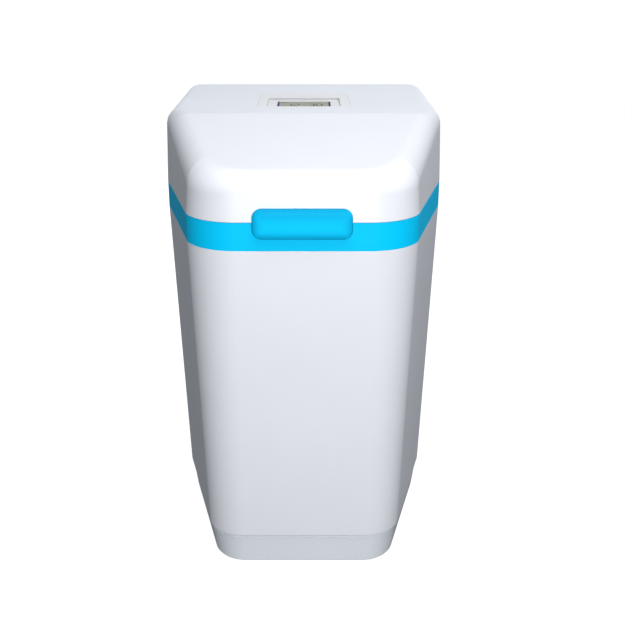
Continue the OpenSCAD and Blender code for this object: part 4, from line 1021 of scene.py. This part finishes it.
def make_display():
    mid = (glass_lo + glass_hi) / 2
    w, d = glass_hi.x - glass_lo.x, glass_hi.y - glass_lo.y
    top = glass_hi.z - GLASS_SINK
    rings = [rounded_rect(mid.x, mid.y, w, d, GLASS_R, glass_lo.z, GLASS_STEPS)]
    for i, below in rounded_edge(GLASS_EDGE):
        rings.append(rounded_rect(mid.x, mid.y, w - 2 * i, d - 2 * i, GLASS_R, top - below, GLASS_STEPS))
    smooth(add_piece("display_panel", *ring_mesh(rings), "display", "cabinet", ["display_glass"]))
    layer = (top - MARK_LIFT, top + MARK_LIFT)
    reach = w / 2 - STRIP_W / 2 - STRIP_MARGIN
    strips = [rect_solid(mid.x + sx * reach, mid.y, STRIP_W, d - 2 * STRIP_END, STRIP_R, *layer)
              for sx in (-1, 1)]
    add_piece("display_end_strips", *merged(strips), "display", "cabinet", material="end_strip")
    left, front, rear = mid.x - w / 2, mid.y - d / 2, mid.y + d / 2
    digits = digit_row("12:30", left + CLOCK_MARGIN, front + CLOCK_BASE, CLOCK_H, *layer)
    digits += digit_row("04", left + COUNT_MARGIN, rear - COUNT_MARGIN - COUNT_H, COUNT_H, *layer)
    add_piece("display_digits", *merged(digits), "display", "cabinet", material="digit")


def make_button(k):
    """Pad with a soft crown on a flange and stem."""
    name = f"button_{k}"
    lo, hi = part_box(name)
    x, y = (lo.x + hi.x) / 2, (lo.y + hi.y) / 2
    w, d = hi.x - lo.x, hi.y - lo.y
    pad_w, pad_d = w - 2 * BUTTON_FLANGE, d - 2 * BUTTON_FLANGE
    flange_z = lo.z + STEM_H
    pad_z = flange_z + BUTTON_FLANGE_T
    rings = [rounded_rect(x, y, 2 * STEM_R, 2 * STEM_R, STEM_R, z) for z in (lo.z, flange_z)]
    rings += [rounded_rect(x, y, w, d, BUTTON_R, z) for z in (flange_z, pad_z)]
    rings.append(rounded_rect(x, y, pad_w, pad_d, BUTTON_R, pad_z))
    for i, below in rounded_edge(BUTTON_EDGE):
        rings.append(rounded_rect(x, y, pad_w - 2 * i, pad_d - 2 * i, BUTTON_R - i,
                                  hi.z - BUTTON_CROWN - below))
    for share in CROWN_SHARES:
        i = BUTTON_EDGE + share * (pad_d / 2 - BUTTON_EDGE)
        rings.append(rounded_rect(x, y, pad_w - 2 * i, pad_d - 2 * i, max(BUTTON_R - i, BUTTON_LEAST_R),
                                  hi.z - BUTTON_CROWN * (1 - share) ** 2))
    smooth(add_piece(f"{name}_pad", *ring_mesh(rings), "grey_plastic", name, [name]))


# Screws, hose tails and the brine system


def make_screws(node, body, axis, heads, head_t):
    """Domed screws with a cross recess; heads is 1 where they point along the axis, -1 where against it."""
    solids, recesses = [], []
    n = AXES[axis][2]
    for lo, hi in islands(node):
        length = (hi - lo).dot(n)
        tip = (lo + hi) / 2 - n * (heads * length / 2)
        head_r, neck = (hi - lo).x / 2, length - head_t
        profile = [(SCREW_R / 2, 0), (SCREW_R, SCREW_R / 2), (SCREW_R, neck), (head_r, neck)]
        for a in (DOME_END * k / DOME_STEPS for k in range(DOME_STEPS + 1)):
            profile.append((head_r * cos(a), neck + head_t * (HEAD_RIM + (1 - HEAD_RIM) * sin(a))))
        solids.append(turned([(r, heads * along) for r, along in profile], tip, axis, SCREW_SIDES))
        half, w = CROSS_HALF * head_r, CROSS_BAR * head_r
        outline, quarter = [], [(w, -half), (w, -w), (half, -w)]
        for _ in range(4):
            outline += quarter
            quarter = [(-v, u) for u, v in quarter]
        recesses.append(prism(outline, tip, axis, heads * (length - CROSS_DEPTH * head_t),
                              heads * (length + head_t)))
    screws = add_piece(node + "_cross", *merged(solids), "steel", body, [node])
    cut(screws, [merged(recesses)])
    smooth(screws)


def barbs(crest, start, end):
    """Profile of a hose tail: sharp steps towards the wall, slopes towards the tip."""
    valley = crest - BARB
    pitch = (end - start) / (BARBS + BARB_FOOT)
    points = [(valley, start)]
    for k in range(BARBS):
        y = start + (k + BARB_FOOT) * pitch
        points += [(valley, y), (crest, y + CREST_START * pitch), (crest, y + CREST_END * pitch),
                   (valley, y + SLOPE_END * pitch)]
    return points + [(valley - TIP_EDGE, end)]


def make_drain_tail():
    lo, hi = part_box("drain_tail")
    mid = (lo + hi) / 2
    face = lo.y + DRAIN_SOCKET
    collar_r = (hi.x - lo.x) / 2
    profile = [(DRAIN_BORE, lo.y), (DRAIN_PIPE, lo.y), (DRAIN_PIPE, face), (collar_r, face)]
    profile += [(collar_r - i, face + COLLAR_T - below) for i, below in rounded_edge(COLLAR_EDGE)]
    profile += [(DRAIN_PIPE, face + COLLAR_T), (DRAIN_PIPE, REAR_Y - COLLAR_EDGE)]
    profile += [(DRAIN_PIPE - COLLAR_EDGE, REAR_Y)]
    profile += barbs(DRAIN_TAIL, REAR_Y, hi.y) + [(DRAIN_BORE, hi.y)]
    shape = turned(profile, (mid.x, 0, mid.z), "y", closed=True)
    smooth(add_piece("drain_hose_tail", *shape, "grey_plastic", "cabinet", ["drain_tail"]))


def make_overflow():
    """Straight overflow fitting: flange inside, threaded neck and hose tail outside."""
    lo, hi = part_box("overflow_fitting")
    mid = (lo + hi) / 2
    flange_r = (hi.x - lo.x) / 2
    neck_end = REAR_Y + THREAD_OUT
    profile = [(OVERFLOW_BORE, lo.y)]
    profile += [(flange_r - i, lo.y + below) for i, below in reversed(rounded_edge(COLLAR_EDGE))]
    profile += [(flange_r, lo.y + FLANGE_T), (THREAD_R, lo.y + FLANGE_T), (THREAD_R, REAR_Y)]
    for k in range(int(THREAD_OUT / THREAD_PITCH)):
        y = REAR_Y + k * THREAD_PITCH
        profile += [(THREAD_R - THREAD_DEEP, y + THREAD_PITCH / 2), (THREAD_R, y + THREAD_PITCH)]
    profile += [(THREAD_R - THREAD_DEEP, neck_end)]
    profile += barbs(OVERFLOW_TAIL, neck_end, hi.y) + [(OVERFLOW_BORE, hi.y)]
    shape = turned(profile, (mid.x, 0, mid.z), "y", closed=True)
    smooth(add_piece("overflow_hose_tail", *shape, "black_plastic", "cabinet", ["overflow_fitting"]))


def make_well_cap():
    """Ribbed cap of the brine well, with a dished top and a grip bar."""
    lo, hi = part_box("well_cap")
    mid = (lo + hi) / 2
    r, seat, dish = (hi.x - lo.x) / 2, hi.z - CAP_T, hi.z - CAP_DISH
    place, sides = (mid.x, mid.y, 0), 4 * CAP_RIBS
    bore = PLUG_R - PLUG_T
    plug = [(bore - PLUG_T, seat), (bore, seat), (bore, lo.z), (PLUG_R, lo.z), (PLUG_R, seat)]
    rings = [turned_ring(place, "z", radius, z, sides) for radius, z in plug]
    for i, below in reversed(rounded_edge(CAP_FOOT)):
        rings.append(turned_ring(place, "z", r - i, seat + below, sides, CAP_DIP, CAP_RIBS))
    for i, below in rounded_edge(CAP_EDGE):
        dip = CAP_DIP * (1 - i / CAP_EDGE)
        rings.append(turned_ring(place, "z", r - i, hi.z - below, sides, dip, CAP_RIBS))
    top = [(CAP_RIM, hi.z), (CAP_RIM + CAP_FOOT, hi.z - CAP_FOOT / 2),
           (CAP_RIM + CAP_DISH, dish), (CAP_GRIP, dish)]
    rings += [turned_ring(place, "z", r - inset, z, sides) for inset, z in top]
    cap = add_piece("well_cap_ribbed", *ring_mesh(rings), "white_plastic", "cabinet", ["well_cap"])
    length, corner = 2 * (r - CAP_RIM - CAP_DISH), CAP_BAR / 2 - CAP_FOOT
    bar = [rounded_rect(mid.x, mid.y, length, CAP_BAR, corner, seat + CAP_FOOT)]
    bar += [rounded_rect(mid.x, mid.y, length - 2 * i, CAP_BAR - 2 * i, corner - i, hi.z - below)
            for i, below in rounded_edge(CAP_BAR_EDGE)]
    combine(cap, [ring_mesh(bar)], "UNION")
    smooth(cap)


def make_brine_tube():
    """Tube from the brine well to the valve: straight back, then one bend, as it climbs."""
    lo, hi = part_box("brine_tube")
    flat_r = TUBE_R * cos(pi / TUBE_SIDES)
    low, high = lo.z + flat_r, hi.z - flat_r
    x, y_turn, y_end = lo.x + TUBE_R, hi.y - TUBE_R - TUBE_BEND, hi.y - TUBE_R
    straight, turn, last = TUBE_STRAIGHT * TUBE_FINE, TUBE_TURN * TUBE_FINE, TUBE_STRAIGHT + TUBE_TURN + 1
    path = [(x, lo.y + (y_turn - lo.y) * k / straight, pi / 2, k / TUBE_FINE) for k in range(straight)]
    for k in range(turn + 1):
        a = pi / 2 * k / turn
        path.append((x + TUBE_BEND * (1 - cos(a)), y_turn + TUBE_BEND * sin(a), pi / 2 - a,
                     TUBE_STRAIGHT + k / TUBE_FINE))
    path.append((hi.x, y_end, 0, last))
    angles = [2 * pi * (s + 0.5) / TUBE_FACES for s in range(TUBE_FACES)]
    rings = []
    for px, py, heading, step in path:
        z = low + (high - low) * (1 - cos(pi * step / last)) / 2
        across = (TUBE_R * sin(heading), -TUBE_R * cos(heading))
        rings.append([(px + across[0] * cos(a), py + across[1] * cos(a), z + TUBE_R * sin(a)) for a in angles])
    smooth(add_piece("brine_hose", *ring_mesh(rings), "white_plastic", "cabinet", ["brine_tube"]))


# Finishes of the frame's own parts

# Edge radius of the frame's parts that show
SOFT_NODES = {
    "feet": 1.5 * MM, "rear_port_plate": 0.6 * MM, "overflow_washer": 0.4 * MM, "overflow_nut": 0.5 * MM,
    "power_inlet": 0.5 * MM, "salt_grid": 0.6 * MM, "lid_hinge_leaves": 0.5 * MM,
    "cabinet_hinge_leaves": 0.5 * MM, "hinge_pins": 0.4 * MM, "vessel_foot": 0.8 * MM,
    "valve_body": 0.8 * MM, "head_base": 0.6 * MM, "injector_cap": 0.8 * MM, "brine_connector": 0.5 * MM,
    "brine_well": 0.5 * MM, "safety_valve": 0.5 * MM, "rim_seal": 0.6 * MM, "resin_vessel": 0.8 * MM,
}


def dress_nodes():
    """Give every part of the frame its slot's material, and soft edges where it shows."""
    for row in frame["record"]["subparts"]:
        node = NODES[row["node"]]
        node.data.materials.clear()
        node.data.materials.append(MATERIALS[row["material_slot"]])
        if row["node"] in SOFT_NODES:
            weld = node.modifiers.new("weld", "WELD")
            weld.merge_threshold = NODE_WELD
            flat = node.modifiers.new("flat_faces", "DECIMATE")
            flat.decimate_type = "DISSOLVE"
            flat.angle_limit = radians(0.5)
            soften(node, SOFT_NODES[row["node"]], angle=40, segments=2)
            node.modifiers["edges"].harden_normals = True
            node.data.shade_smooth()


make_camera()
make_lights()
make_floor()
dress_nodes()
make_cabinet()
make_plinth()
make_band()
make_lid()
make_handle()
make_head()
make_display()
for number in range(1, BUTTONS + 1):
    make_button(number)
make_screws("hinge_screws", "cabinet", "y", 1, LEAF_SCREW_HEAD)
make_screws("lid_hinge_screws", "lid", "y", 1, LEAF_SCREW_HEAD)
make_screws("handle_screws", "lid", "y", 1, HANDLE_SCREW_HEAD)
make_screws("plate_screws", "cabinet", "y", -1, PLATE_SCREW_HEAD)
make_screws("head_screws", "cabinet", "z", -1, HEAD_SCREW_HEAD)
make_drain_tail()
make_overflow()
make_well_cap()
make_brine_tube()

bpy.context.scene.view_settings.view_transform = "Standard"
